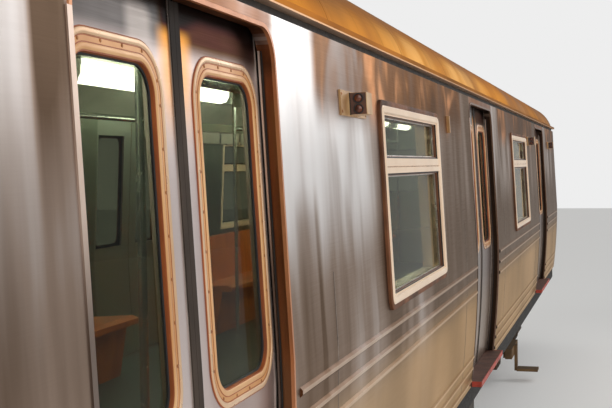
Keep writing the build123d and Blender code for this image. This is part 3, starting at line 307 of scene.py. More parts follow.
def add_wall_strip(piece, x, z, out, steps=12, paint=0):
    """A strip that follows the right side between two places, two heights and two distances out."""
    rows = []
    for n in range(steps + 1):
        height = z[0] + (z[1] - z[0]) * n / steps
        rows.append(
            [
                wall_point(a, height, o)
                for a, o in ((x[0], out[0]), (x[1], out[0]), (x[1], out[1]), (x[0], out[1]))
            ]
        )
    add_grid(piece, rows, closed_rows=True, closed_ends=True, paint=paint)


# Materials
class Paint:
    """A procedural material, in the object's own coordinates."""

    def __init__(self, name, metallic=0.0, roughness=0.5, **constants):
        self.material = bpy.data.materials.new(name)
        self.material.use_nodes = True
        self.tree = self.material.node_tree
        self.shader = self.tree.nodes["Principled BSDF"]
        self.shader.inputs["Metallic"].default_value = metallic
        self.shader.inputs["Roughness"].default_value = roughness
        for socket, value in constants.items():
            self.shader.inputs[socket.replace("_", " ")].default_value = value
        self.coords = self.node("ShaderNodeTexCoord").outputs["Object"]

    def node(self, kind, **settings):
        made = self.tree.nodes.new(kind)
        for key, value in settings.items():
            setattr(made, key, value)
        return made

    def link(self, source, target):
        self.tree.links.new(source, target)

    def noise(self, stretch=(1, 1, 1), scale=1.0, detail=3.0, distort=0.0):
        """Noise, from 0 to 1, with the coordinates stretched per axis."""
        mapping = self.node("ShaderNodeMapping")
        mapping.inputs["Scale"].default_value = stretch
        self.link(self.coords, mapping.inputs["Vector"])
        noise = self.node("ShaderNodeTexNoise")
        noise.inputs["Scale"].default_value = scale
        noise.inputs["Detail"].default_value = detail
        noise.inputs["Distortion"].default_value = distort
        self.link(mapping.outputs["Vector"], noise.inputs["Vector"])
        return noise.outputs["Fac"]

    def axis(self, name, source=None):
        """One axis of the object's coordinates or of another vector."""
        split = self.node("ShaderNodeSeparateXYZ")
        self.link(source or self.coords, split.inputs["Vector"])
        return split.outputs[name]

    def normal(self, name):
        """One axis of the surface's normal."""
        return self.axis(name, self.node("ShaderNodeNewGeometry").outputs["True Normal"])

    def math(self, operation, a, b=0.0):
        made = self.node("ShaderNodeMath", operation=operation)
        for value, socket in ((a, made.inputs[0]), (b, made.inputs[1])):
            if isinstance(value, (int, float)):
                socket.default_value = value
            else:
                self.link(value, socket)
        return made.outputs["Value"]

    def times(self, a, b):
        return self.math("MULTIPLY", a, b)

    def plus(self, a, b):
        return self.math("ADD", a, b)

    def minus(self, a, b):
        return self.math("SUBTRACT", a, b)

    def larger(self, a, b):
        return self.math("MAXIMUM", a, b)

    def size(self, value):
        return self.math("ABSOLUTE", value)

    def between(self, value, low, high, out_low=0.0, out_high=1.0):
        """A value mapped smoothly from one range to another."""
        made = self.node("ShaderNodeMapRange", interpolation_type="SMOOTHSTEP")
        self.link(value, made.inputs["Value"])
        for socket, number in zip(
            ("From Min", "From Max", "To Min", "To Max"), (low, high, out_low, out_high)
        ):
            made.inputs[socket].default_value = number
        return made.outputs["Result"]

    def along(self, axis, *limits):
        """A smooth change along one axis of the object's coordinates, with between's limits."""
        return self.between(self.axis(axis), *limits)

    def ramp(self, value, stops):
        """Colours along a value: stops of (place, colour)."""
        made = self.node("ShaderNodeValToRGB")
        ramp = made.color_ramp
        while len(ramp.elements) < len(stops):
            ramp.elements.new(0.5)
        for element, (place, colour) in zip(ramp.elements, stops):
            element.position = place
            element.color = (*colour, 1)
        self.link(value, made.inputs["Fac"])
        return made.outputs["Color"]

    def hump(self, value, rise, full, fade, end):
        """1 between full and fade, 0 before the rise and past the end."""
        return self.times(self.between(value, rise, full), self.between(value, fade, end, 1.0, 0.0))

    def from_door(self):
        """Distance along the car from the nearest doorway's middle."""
        shifted = self.plus(self.axis("X"), DOOR_SPACING)
        return self.minus(self.math("FLOORED_MODULO", shifted, DOOR_SPACING), DOOR_SPACING / 2)

    def mix(self, factor, a, b, blend="MIX"):
        """Two colours mixed by a factor."""
        made = self.node("ShaderNodeMix", data_type="RGBA", blend_type=blend)
        sockets = [s for s in made.inputs if s.enabled]
        for value, socket in zip((factor, a, b), sockets):
            if isinstance(value, (int, float)):
                socket.default_value = value
            elif isinstance(value, tuple):
                socket.default_value = (*value, 1)
            else:
                self.link(value, socket)
        return next(s for s in made.outputs if s.enabled)

    def colour(self, value):
        if isinstance(value, tuple):
            self.shader.inputs["Base Color"].default_value = (*value, 1)
        else:
            self.link(value, self.shader.inputs["Base Color"])

    def roughness(self, value, low, high):
        self.link(self.between(value, 0.25, 0.75, low, high), self.shader.inputs["Roughness"])

    def bump(self, value, height, strength=1.0, after=None):
        """A bump of a height in metres, on top of another where one is given."""
        made = self.node("ShaderNodeBump")
        made.inputs["Strength"].default_value = strength
        made.inputs["Distance"].default_value = height
        self.link(value, made.inputs["Height"])
        if after:
            self.link(after, made.inputs["Normal"])
        self.link(made.outputs["Normal"], self.shader.inputs["Normal"])
        return made.outputs["Normal"]


# Colours, as they show in the photo
STEEL_BRIGHT = srgb(240, 234, 230)
STEEL_LIGHT = srgb(190, 177, 170)
STEEL_MID = srgb(148, 128, 114)
STEEL_DARK = srgb(90, 73, 60)
# warm tan of the lower panels: a painted reflection of the platform
STEEL_WARM = srgb(182, 158, 132)
STEEL_BROWN = srgb(112, 88, 74)
# the ribs' crests: a painted highlight
RIB_HIGHLIGHT = srgb(240, 220, 202)
# the roof's ochre, partly painted warm light
OCHRE = srgb(172, 108, 44)
OCHRE_BRIGHT = srgb(214, 150, 74)
OCHRE_DARK = srgb(110, 66, 26)
# a warm tint on the roof's and rails' reflections: painted warm light
WARM_TINT = (*srgb(236, 190, 130), 1)
REVEAL = srgb(130, 78, 48)
FAR_REVEAL_SHADE = srgb(44, 34, 28)


def streaks(paint, spread=1.2):
    """Soft upright streaks of three widths, about 0.5: painted reflections in the brushed steel."""
    wide = paint.noise((1.0, 1.0, 0.22), 2.1, 1.0, 0.7)
    narrow = paint.noise((1.0, 1.0, 0.12), 6.0, 1.5, 0.4)
    fine = paint.noise((1.0, 1.0, 0.05), 30.0, 2.0, 0.1)
    blend = paint.times(wide, 0.62)
    blend = paint.plus(blend, paint.times(narrow, 0.29))
    blend = paint.plus(blend, paint.times(fine, 0.09))
    return paint.plus(paint.times(blend, spread), 0.5 - 0.5 * spread)


def brushed_surface(paint):
    """The fine grain and the shallow waves of the sheets."""
    grain = paint.noise((4, 4, 500), 1.0, 2.0)
    dents = paint.noise((1.4, 1, 0.4), 2.2, 2.0, 0.3)
    paint.roughness(grain, 0.29, 0.38)
    wave = paint.bump(dents, 0.014, 0.55)
    paint.bump(grain, 0.00012, 0.15, wave)


def steel_ramp(paint, tone):
    """The steel's colours, from dark to bright."""
    return paint.ramp(
        tone, ((0.22, STEEL_DARK), (0.44, STEEL_MID), (0.62, STEEL_LIGHT), (0.84, STEEL_BRIGHT))
    )


def side_tone(paint, tone, height, away):
    """The side's tone, brighter beside the doorways where it is lit, as painted highlights, and darker in
    narrow bands, lower down and towards +X, as painted shade.
    """
    # painted highlights beside each doorway and on the panel before the nearest doorway, where the lamps
    # reflect
    beside = paint.hump(away, 0.6, 0.66, 1.95, 2.4)
    first_highlight = paint.times(paint.hump(paint.axis("X"), -5.2, -4.4, -3.64, -3.58), 0.5)
    lit = paint.times(paint.larger(beside, first_highlight), paint.between(height, 2.24, 2.66))
    lit = paint.times(lit, paint.along("X", -0.4, 1.6, 1.0, 0.4))
    lit_dip = paint.times(paint.hump(away, 0.7, 0.78, 0.98, 1.06), paint.between(height, 2.64, 2.46, 0.0, 0.75))
    lit = paint.times(lit, paint.minus(1.0, lit_dip))
    tone = paint.plus(tone, paint.times(lit, 0.16))
    # a painted highlight column along each doorway's edge
    column = paint.hump(away, 0.64, 0.66, 0.72, 0.8)
    tone = paint.plus(tone, paint.times(column, paint.between(height, 1.9, 2.7, 0.07, 0.16)))
    # painted shade: a band beside each doorway, a band beside the jamb, and a thin painted shadow line
    band = paint.hump(away, 0.76, 0.84, 0.98, 1.06)
    tone = paint.minus(tone, paint.times(band, paint.between(height, 2.7, 2.4, 0.0, 0.09)))
    shade = paint.times(paint.hump(away, -0.81, -0.77, -0.66, -0.645), 0.3)
    shade = paint.times(shade, paint.between(height, 2.5, 2.9, 0.34, 1.5))
    line = paint.times(paint.hump(away, 0.96, 0.99, 1.0, 1.05), 0.2)
    tone = paint.minus(tone, paint.larger(shade, line))
    # painted shade lower down and towards +X
    tone = paint.minus(tone, paint.between(height, 2.55, 2.2, 0.0, 0.08))
    return paint.minus(tone, paint.along("X", -0.8, 1.6, 0.0, 0.15)), lit


def side_shade_and_reflections(paint, colour, tint, height, lit):
    """The side browner towards +X lower down as painted shade, with a white painted sheen where it is lit,
    and tan below the ribs as a painted reflection of the platform.
    """
    # painted shade: browner towards +X, lower down
    brown = paint.times(paint.along("X", 0.3, 2.0), paint.between(height, 2.6, 2.1, 0.0, 0.62))
    colour = paint.mix(brown, colour, srgb(110, 96, 86))
    tint = paint.mix(brown, tint, srgb(204, 186, 172))
    # a white painted highlight where the side is lit
    sheen = paint.noise((1.0, 1.0, 0.16), 3.4, 2.0, 0.6)
    sheen = paint.times(lit, paint.between(sheen, 0.38, 0.56, 0.05, 0.9))
    colour = paint.mix(sheen, colour, srgb(252, 248, 246))
    # below the ribs: tan as a painted reflection of the platform, with a warm tint on its reflections
    low = paint.between(height, FLOOR_Z + 0.76, FLOOR_Z + 0.5, 0.0, 0.88)
    even = paint.noise((0.7, 1, 0.5), 1.4, 2.0)
    tan = ((0.35, srgb(156, 134, 112)), (0.5, STEEL_WARM), (0.68, srgb(206, 180, 152)))
    colour = paint.mix(low, colour, paint.ramp(even, tan))
    warm = paint.mix(paint.along("X", -2.2, 1.6), srgb(255, 232, 202), srgb(255, 219, 170))
    return colour, paint.mix(low, tint, warm)


def side_copper_reflections(paint, colour, tint, height, away):
    """Brown and copper patches under the gutter as painted reflections, and a copper strip over each
    doorway as a painted highlight.
    """
    patch = paint.noise((1.3, 1, 0.8), 2.3, 2.0, 0.6)
    high = paint.between(height, 2.76, 2.92)
    high = paint.times(high, paint.between(paint.size(away), 1.0, 1.12, 0.0, 1.0))
    high = paint.times(high, paint.between(patch, 0.36, 0.56, 0.66, 0.94))
    bronze_reflection = ((0.4, STEEL_BROWN), (0.54, srgb(138, 108, 88)), (0.64, srgb(206, 150, 112)))
    colour = paint.mix(high, colour, paint.ramp(patch, bronze_reflection))
    grazing = ((0.4, srgb(150, 128, 114)), (0.52, srgb(184, 152, 130)), (0.66, srgb(250, 212, 176)))
    top = paint.times(high, paint.between(height, 2.84, 2.98, 0.3, 1.0))
    tint = paint.mix(top, tint, paint.ramp(patch, grazing))
    # a copper painted highlight strip over each doorway
    over = paint.hump(height, *(DOOR_TOP_Z + up for up in (-0.01, 0.006, 0.03, 0.07)))
    over = paint.times(over, paint.between(paint.size(away), 0.66, 0.58, 0.0, 0.85))
    strip = paint.ramp(patch, ((0.4, srgb(128, 76, 44)), (0.62, srgb(170, 116, 80))))
    return paint.mix(over, colour, strip), tint


def side_ribs(paint, colour, height, away):
    """Bright painted highlights along the crests of the ribs."""
    beyond = paint.math("GREATER_THAN", paint.size(away), 0.695)
    spread = (-0.009, -0.005, 0.005, 0.009)
    crests = [paint.hump(height, *(FLOOR_Z + rib + d for d in spread)) for rib in RIBS]
    lines = crests[0]
    for crest in crests[1:]:
        lines = paint.larger(lines, crest)
    return paint.mix(paint.times(beyond, paint.times(lines, 0.6)), colour, RIB_HIGHLIGHT)


def steel_paint(name, side=False):
    """Brushed stainless in upright streaks of painted reflection, with the side's painted light, shade and
    reflections where asked.
    """
    paint = Paint(name, metallic=0.84, roughness=0.33)
    height = paint.axis("Z")
    tone = paint.minus(streaks(paint, 1.45), 0.07)
    if side:
        away = paint.from_door()
        tone, lit = side_tone(paint, tone, height, away)
    colour = steel_ramp(paint, tone)
    tint = paint.ramp(tone, ((0.26, srgb(222, 204, 190)), (0.66, (1, 1, 1))))
    if side:
        colour, tint = side_shade_and_reflections(paint, colour, tint, height, lit)
        colour, tint = side_copper_reflections(paint, colour, tint, height, away)
        colour = side_ribs(paint, colour, height, away)
    paint.colour(colour)
    paint.link(tint, paint.shader.inputs["Specular Tint"])
    brushed_surface(paint)
    return paint


def leaf_paint():
    """The door leaves: pinkish steel, dark under the header as painted shadow, a copper painted reflection
    high at the meeting edge, painted shade towards +X, and a tan painted reflection low down.
    """
    paint = Paint("door steel", metallic=0.84, roughness=0.32)
    height = paint.axis("Z")
    away = paint.size(paint.from_door())
    # upright streaks of painted reflection, with a painted highlight near the meeting edge
    tone = paint.plus(streaks(paint, 0.8), 0.06)
    edge_highlight = paint.between(away, 0.24, 0.08, 0.0, 0.14)
    tone = paint.plus(tone, edge_highlight)
    colour = steel_ramp(paint, tone)
    colour = paint.mix(0.35, colour, srgb(214, 188, 186))
    # painted shade towards +X
    colour = paint.mix(paint.along("X", -1.8, 1.5, 0.0, 0.62), colour, srgb(84, 70, 62))
    # painted shadow under the header: brown on the leaf ahead, grey with one bright painted highlight patch
    # on the leaf behind
    signed = paint.from_door()
    patch = paint.hump(signed, -0.3, -0.24, -0.17, -0.11)
    ahead = paint.between(signed, -0.12, -0.05)
    top = paint.mix(ahead, paint.mix(patch, srgb(56, 49, 45), srgb(140, 131, 124)), srgb(64, 46, 38))
    above = paint.between(height, WINDOW_Z + 0.43, WINDOW_Z + 0.5, 0.0, 0.95)
    colour = paint.mix(above, colour, top)
    tint = paint.mix(paint.times(above, ahead), (1, 1, 1), srgb(172, 144, 118))
    paint.link(tint, paint.shader.inputs["Specular Tint"])
    # the painted shadow turns nearly black at the top, reaching lower near the meeting edge and the far
    # edge of the leaf ahead
    deeper_shadow = paint.larger(paint.between(signed, 0.42, 0.58), paint.between(away, 0.2, 0.03))
    drop = paint.minus(height, paint.times(deeper_shadow, -0.035))
    colour = paint.mix(
        paint.between(drop, WINDOW_Z + 0.53, WINDOW_Z + 0.575, 0.0, 0.97), colour, srgb(20, 14, 12)
    )
    # a copper painted reflection high at the meeting edge
    meeting_reflection = paint.hump(height, WINDOW_Z + 0.18, WINDOW_Z + 0.42, WINDOW_Z + 0.49, WINDOW_Z + 0.53)
    meeting_reflection = paint.times(meeting_reflection, paint.between(away, 0.13, 0.05, 0.0, 0.85))
    colour = paint.mix(meeting_reflection, colour, srgb(240, 172, 96))
    # tan low down: a painted reflection of the platform
    low = paint.between(height, FLOOR_Z + 0.75, FLOOR_Z + 0.4, 0.0, 0.45)
    colour = paint.mix(low, colour, STEEL_WARM)
    inwards = paint.times(paint.normal("Y"), paint.axis("Y"))
    colour = paint.mix(paint.between(inwards, 0.02, -0.3), colour, srgb(160, 168, 156))
    paint.colour(colour)
    brushed_surface(paint)
    return paint


def wall_paint():
    """The side's material: steel outside, a dark brown reveal at doorways, reddish as a painted reflection
    and darker at the far doorways as painted shade, a pale lining inside, and painted shade on outside
    faces that slope up.
    """
    paint = steel_paint("stainless side", True)
    steel = paint.shader.inputs["Base Color"].links[0].from_socket
    inwards = paint.times(paint.normal("Y"), paint.axis("Y"))
    inside = paint.between(inwards, 0.02, -0.3)
    across = paint.between(paint.size(paint.normal("X")), 0.6, 0.9)
    down = paint.between(paint.normal("Z"), -0.6, -0.9)
    blotches = paint.noise((1, 1, 0.35), 5.0, 4.0)
    # the reveals' reddish brown, partly a painted reflection under the headers
    reveal = paint.ramp(blotches, ((0.3, srgb(96, 56, 32)), (0.55, REVEAL), (0.8, srgb(162, 110, 76))))
    reveal = paint.mix(paint.along("Z", 2.6, 1.9, 0.0, 0.85), reveal, srgb(128, 88, 58))
    # painted shade: the reveals dark at the far doorways
    reveal = paint.mix(paint.along("X", -2.0, 0.5, 0.0, 0.94), reveal, FAR_REVEAL_SHADE)
    # painted shade on outside faces that slope up, such as the ribs' tops
    slope = paint.between(paint.normal("Z"), 0.3, 0.5, 0.0, 0.55)
    steel = paint.mix(paint.times(slope, paint.between(inwards, 0.0, -0.2, 1.0, 0.0)), steel, STEEL_BROWN)
    lined = paint.mix(inside, steel, srgb(128, 138, 124))
    paint.colour(paint.mix(paint.larger(across, down), lined, reveal))
    return paint


def end_paint():
    """The end walls: stainless outside, painted inside."""
    paint = steel_paint("end steel")
    steel = paint.shader.inputs["Base Color"].links[0].from_socket
    inwards = paint.times(paint.normal("X"), paint.axis("X"))
    paint.colour(paint.mix(paint.between(inwards, -3.0, -9.0), steel, srgb(168, 178, 164)))
    return paint


def plain_paint(name, colour, dark, metallic=0.0, roughness=0.5, scale=6.0, grain=0.0002, **constants):
    """Paint or casting with a mottled colour and a fine uneven surface."""
    paint = Paint(name, metallic=metallic, roughness=roughness, **constants)
    mottle = paint.noise((1, 1, 0.7), scale, 3.0, 0.3)
    paint.colour(paint.ramp(mottle, ((0.32, srgb(*dark)), (0.62, srgb(*colour)))))
    patches = paint.noise((1, 1, 1), scale * 2, 2.0)
    paint.roughness(patches, max(roughness - 0.04, 0.05), min(roughness + 0.06, 1.0))
    paint.bump(paint.noise((1, 1, 1), 260, 2.0), grain, 0.4)
    return paint.material


def grimy_paint(name, colour, dirt, metallic=0.0, roughness=0.6):
    """Underfloor paint with dust lying on what faces up and rust at random."""
    paint = Paint(name, metallic=metallic, roughness=roughness, Specular_IOR_Level=0.2)
    patches = paint.noise((1, 1, 1), 5.0, 6.0, 0.5)
    base = paint.ramp(patches, ((0.35, srgb(*colour)), (0.7, srgb(*dirt))))
    dust = paint.between(paint.normal("Z"), 0.4, 1.0, 0.0, 0.55)
    paint.colour(paint.mix(dust, base, srgb(96, 84, 72)))
    fine = paint.noise((1, 1, 1), 90, 4.0)
    paint.roughness(fine, roughness - 0.1, roughness + 0.2)
    paint.bump(fine, 0.0006, 0.6)
    return paint


def roof_paint():
    """Ochre roof, partly painted warm light: a bright band along the cove as a painted highlight, painted
    glare on the cove along the middle, soot over the crown, and a lap seam at every second rib.
    """
    paint = Paint(
        "roof ochre", metallic=0.8, roughness=0.38, Specular_IOR_Level=0.15, Specular_Tint=WARM_TINT
    )
    patch = paint.noise((0.5, 1, 1), 1.8, 4.0, 0.5)
    streak = paint.noise((9, 1, 0.7), 1.2, 3.0)
    base = paint.ramp(patch, ((0.3, srgb(140, 84, 34)), (0.52, OCHRE), (0.74, srgb(196, 130, 60))))
    tilt = paint.normal("Z")
    # painted highlight: a bright band along the cove
    band = paint.hump(tilt, 0.1, 0.32, 0.42, 0.7)
    broken = paint.noise((0.8, 0.3, 0.3), 2.4, 3.0)
    base = paint.mix(paint.times(band, paint.between(broken, 0.35, 0.65, 0.25, 0.9)), base, OCHRE_BRIGHT)
    # painted glare on the cove along the middle of the car
    glare = paint.times(
        paint.hump(paint.axis("X"), -0.9, 0.6, 2.2, 4.0), paint.hump(tilt, 0.05, 0.25, 0.5, 0.72)
    )
    base = paint.mix(
        paint.times(glare, paint.between(broken, 0.3, 0.6, 0.1, 0.8)), base, srgb(250, 206, 140)
    )
    soot = paint.times(paint.between(tilt, 0.74, 0.97), paint.between(patch, 0.35, 0.6, 0.9, 0.72))
    base = paint.mix(soot, base, srgb(100, 86, 72))
    base = paint.mix(paint.between(streak, 0.56, 0.78, 0.0, 0.4), base, OCHRE_DARK)
    run = paint.math("FLOORED_MODULO", paint.axis("X"), DOOR_SPACING / 4)
    seam = paint.hump(run, 0.0, 0.004, 0.009, 0.014)
    base = paint.mix(paint.times(seam, 0.7), base, OCHRE_DARK)
    paint.colour(base)
    paint.roughness(patch, 0.3, 0.46)
    wave = paint.bump(paint.noise((1, 1, 1), 1.9, 2.0), 0.012, 0.4)
    lap = paint.bump(paint.hump(run, 0.0, 0.006, 0.05, 0.06), 0.003, 0.6, wave)
    paint.bump(paint.noise((1, 1, 1), 160, 2.0), 0.0002, 0.3, lap)
    return paint


def glass_paint(name, tint):
    """Tinted glass with faint smears."""
    paint = Paint(name, roughness=0.02, IOR=1.08, Transmission_Weight=1.0)
    smear = paint.noise((1, 1, 0.4), 3.0, 4.0)
    paint.colour(paint.mix(paint.between(smear, 0.3, 0.8), tint, tuple(c * 0.8 for c in tint)))
    paint.link(paint.between(smear, 0.4, 0.9, 0.005, 0.05), paint.shader.inputs["Roughness"])
    return paint


def lit_paint(name, colour, strength):
    """Lamp covers along the ceiling, lit for part of each length."""
    paint = Paint(name, roughness=0.5)
    cell = paint.noise((1, 1, 1), 30, 2.0)
    shade = paint.mix(paint.between(cell, 0.3, 0.7), colour, tuple(c * 0.92 for c in colour))
    paint.colour(paint.mix(0.35, shade, srgb(120, 124, 118)))
    paint.link(shade, paint.shader.inputs["Emission Color"])
    run = paint.math("FLOORED_MODULO", paint.axis("X"), CEILING_LIGHT_PITCH)
    lit = paint.hump(run, 0.28, 0.31, CEILING_LIGHT_PITCH - 0.31, CEILING_LIGHT_PITCH - 0.28)
    power = paint.times(lit, strength)
    paint.link(power, paint.shader.inputs["Emission Strength"])
    return paint


def jamb_paint():
    """The doorways' edges towards -X: pale above as a painted highlight, brown lower down."""
    paint = Paint("doorway edge pale", metallic=0.7, roughness=0.32)
    blotches = paint.noise((1, 1, 0.4), 6.0, 3.0)
    base = paint.ramp(blotches, ((0.3, srgb(206, 178, 160)), (0.65, srgb(234, 212, 196))))
    paint.colour(paint.mix(paint.along("Z", 2.64, 2.3, 0.0, 0.96), base, srgb(108, 92, 82)))
    return paint


def edge_paint():
    """The doorways' other edges: copper at the near doorways as a painted reflection, brown at the far ones
    as painted shade.
    """
    paint = Paint("doorway edge copper", metallic=0.55, roughness=0.36)
    blotches = paint.noise((1, 1, 0.4), 5.0, 3.0)
    base = paint.ramp(blotches, ((0.3, srgb(172, 108, 68)), (0.65, srgb(214, 146, 100))))
    paint.colour(paint.mix(paint.along("X", -1.9, 0.0, 0.0, 0.92), base, srgb(112, 90, 76)))
    return paint


def rail_paint():
    """The drip rails: ochre as the roof, partly painted warm light, with a pale lower lip as a painted
    highlight.
    """
    paint = Paint(
        "rail ochre", metallic=0.8, roughness=0.38, Specular_IOR_Level=0.15, Specular_Tint=WARM_TINT
    )
    blotches = paint.noise((0.5, 1, 1), 2.2, 4.0, 0.4)
    base = paint.ramp(blotches, ((0.35, srgb(118, 76, 42)), (0.6, srgb(170, 112, 60))))
    low, high = (limit.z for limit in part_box("drip_rails"))
    # painted highlight: the pale lower lip
    lip = paint.along("Z", low + 0.26 * (high - low), low + 0.2 * (high - low))
    paint.colour(paint.mix(lip, base, srgb(220, 192, 172)))
    return paint


def rubber_paint():
    """Door nosings, nearly black under the header as painted shadow."""
    paint = Paint("rubber", roughness=0.7, Specular_IOR_Level=0.15)
    blotches = paint.noise((1, 1, 0.3), 12.0, 4.0)
    base = paint.ramp(blotches, ((0.3, srgb(50, 41, 35)), (0.7, srgb(74, 62, 53))))
    # painted shadow under the header
    dark = paint.along("Z", WINDOW_Z + 0.25, WINDOW_Z + 0.5, 0.0, 0.75)
    paint.colour(paint.mix(dark, base, srgb(26, 22, 21)))
    paint.bump(paint.noise((1, 1, 1), 200, 2.0), 0.0002, 0.4)
    return paint


def wheel_paint():
    """Rusty discs with a polished tread."""
    paint = grimy_paint("wheel steel", (74, 56, 44), (104, 72, 50), 0.5, 0.6)
    base = paint.shader.inputs["Base Color"].links[0].from_socket
    across = paint.size(paint.axis("Y"))
    rim = paint.size(paint.normal("Y"))
    tread = paint.times(paint.between(across, 0.66, 0.68), paint.between(rim, 0.6, 0.3))
    small = paint.between(across, 0.83, 0.82)
    paint.colour(paint.mix(paint.times(tread, small), base, srgb(170, 165, 160)))
    return paint


steel = wall_paint().material
leaf_steel = leaf_paint().material
end_steel = end_paint().material
trim_steel = plain_paint("trim steel", (206, 196, 188), (160, 148, 138), 0.85, 0.3, 6)
roof_ochre = roof_paint().material
rail_ochre = rail_paint().material
# the window frames: aluminium, their cream partly painted warm light
cream = plain_paint("frame cream", (253, 226, 198), (242, 212, 182), 0.1, 0.34, 3, 0.0001)
peach = plain_paint("ring peach", (222, 164, 104), (198, 138, 80), 0.2, 0.36, 4, 0.0001)
ring_cream = plain_paint("ring cream", (234, 186, 132), (208, 152, 98), 0.2, 0.34, 4, 0.0001)
pale_rim = plain_paint("ring rim", (238, 204, 168), (216, 176, 136), 0.45, 0.28, 4, 0.0001)
sash_brown = plain_paint("sash brown", (118, 74, 46), (84, 52, 34), 0.1, 0.5, 6, 0.0001)
face_brown = plain_paint("lamp face", (92, 50, 24), (56, 32, 17), 0.1, 0.4, 20, 0.0002)
# thin brown lines where the door rings step: painted shade
ring_shade_brown = plain_paint("ring edge", (168, 86, 36), (132, 66, 30), 0.1, 0.45, 6, 0.0001)
screw_brown = plain_paint("screw", (176, 118, 70), (140, 88, 52), 0.4, 0.4, 30, 0.0001)
surround_brown = plain_paint(
    "surround brown", (126, 80, 52), (70, 43, 26), 0.0, 0.6, 6, Specular_IOR_Level=0.2
)
edge_copper = edge_paint().material
edge_pale = jamb_paint().material
seam_dark = plain_paint("seam", (96, 80, 70), (66, 54, 47), 0.3, 0.5, 8)
rubber = rubber_paint().material
black = plain_paint("black gasket", (24, 22, 21), (14, 13, 13), 0.0, 0.6, 20)
glass = glass_paint("window glass", srgb(136, 140, 124)).material
lamp_lens = plain_paint("lamp lens", (104, 50, 20), (52, 22, 12), 0.0, 0.2, 60, 0.0006)
lamp_red = plain_paint("lamp red", (150, 24, 18), (96, 14, 12), 0.0, 0.12, 40, 0.0006)
lamp_clear = plain_paint("lamp clear", (224, 222, 214), (190, 188, 180), 0.0, 0.12, 30, 0.0006)
sill_top = plain_paint("sill top", (106, 74, 62), (82, 56, 46), 0.1, 0.6, 10, 0.0008)
sill_red = plain_paint("sill edge", (190, 66, 46), (136, 50, 36), 0.0, 0.5, 9)
housing = plain_paint("housing tan", (200, 160, 110), (160, 118, 74), 0.15, 0.4, 12, 0.0003)
card = plain_paint("blank card", (196, 192, 176), (168, 166, 152), 0.0, 0.5, 3, 0.0001)
under_black = grimy_paint("underframe black", (24, 22, 22), (48, 42, 37)).material
box_grey = grimy_paint("box grey", (58, 57, 54), (86, 78, 68)).material
grid_iron = grimy_paint("grid iron", (84, 70, 60), (120, 90, 68), 0.6, 0.5).material
truck_iron = grimy_paint("truck iron", (60, 52, 46), (92, 72, 56), 0.2).material
motor_grey = grimy_paint("motor grey", (66, 68, 70), (84, 72, 60)).material
coupler_iron = grimy_paint("coupler iron", (70, 62, 58), (104, 76, 56), 0.6, 0.5).material
beam_wood = grimy_paint("beam wood", (126, 98, 68), (92, 72, 52), 0.0, 0.8).material
pipe_steel = grimy_paint("pipe steel", (92, 86, 80), (112, 84, 62), 0.5, 0.5).material
spring_rubber = grimy_paint("spring rubber", (28, 28, 28), (56, 52, 48), 0.0, 0.7).material
wheel_steel = wheel_paint().material
floor_vinyl = plain_paint("floor vinyl", (84, 84, 80), (58, 58, 56), 0.0, 0.5, 160, 0.0002)
ceiling_white = plain_paint("ceiling white", (222, 230, 218), (196, 206, 192), 0.0, 0.4, 3)
light_cover = lit_paint("ceiling light", srgb(246, 250, 236), 14.0).material
seat_orange = plain_paint("seat orange", (206, 112, 48), (170, 84, 36), 0.0, 0.35, 5)
pole_steel = plain_paint("pole steel", (200, 204, 198), (160, 164, 158), 0.9, 0.22, 20)
partition_grey = plain_paint("partition grey", (140, 146, 136), (112, 118, 110), 0.0, 0.45, 4)
desk_grey = plain_paint("desk grey", (54, 56, 58), (36, 38, 40), 0.0, 0.5, 12)

NODE_PAINTS = {
    "side_bays": steel,
    "door_headers": steel,
    "roof": roof_ochre,
    "drip_rails": rail_ochre,
    "end_wall": end_steel,
    "end_windows": glass,
    "end_lamps": lamp_clear,
    "end_door_glass": glass,
    "end_door": leaf_steel,
    "window_frames": cream,
    "window_panes": glass,
    "door_leaves": leaf_steel,
    "door_glass": glass,
    "door_sills": sill_top,
    "guard_lights": housing,
    "floor": floor_vinyl,
    "underframe": under_black,
    "anticlimbers": coupler_iron,
    "equipment_boxes": box_grey,
    "resistor_grids": grid_iron,
    "air_tanks": box_grey,
    "compressor": motor_grey,
    "ceiling_lights": light_cover,
    "ceiling": ceiling_white,
    "seats": seat_orange,
    "grab_poles": pole_steel,
    "cab_partition": partition_grey,
    "cab_console": desk_grey,
    "truck_frame": truck_iron,
    "truck_bolster": truck_iron,
    "air_springs": spring_rubber,
    "traction_motors": motor_grey,
    "contact_shoes": beam_wood,
    "wheelset": wheel_steel,
    "coupler": coupler_iron,
}


def paint_nodes():
    """Give each CAD node its material, by the longest name that it starts with."""
    for name, node in nodes.items():
        key = max((k for k in NODE_PAINTS if name.startswith(k)), key=len)
        node.data.materials.clear()
        node.data.materials.append(NODE_PAINTS[key])


# Side windows
def window_place(x, z=WINDOW_Z):
    return lambda right, up, out: panel_point(x, z, right, up, out)


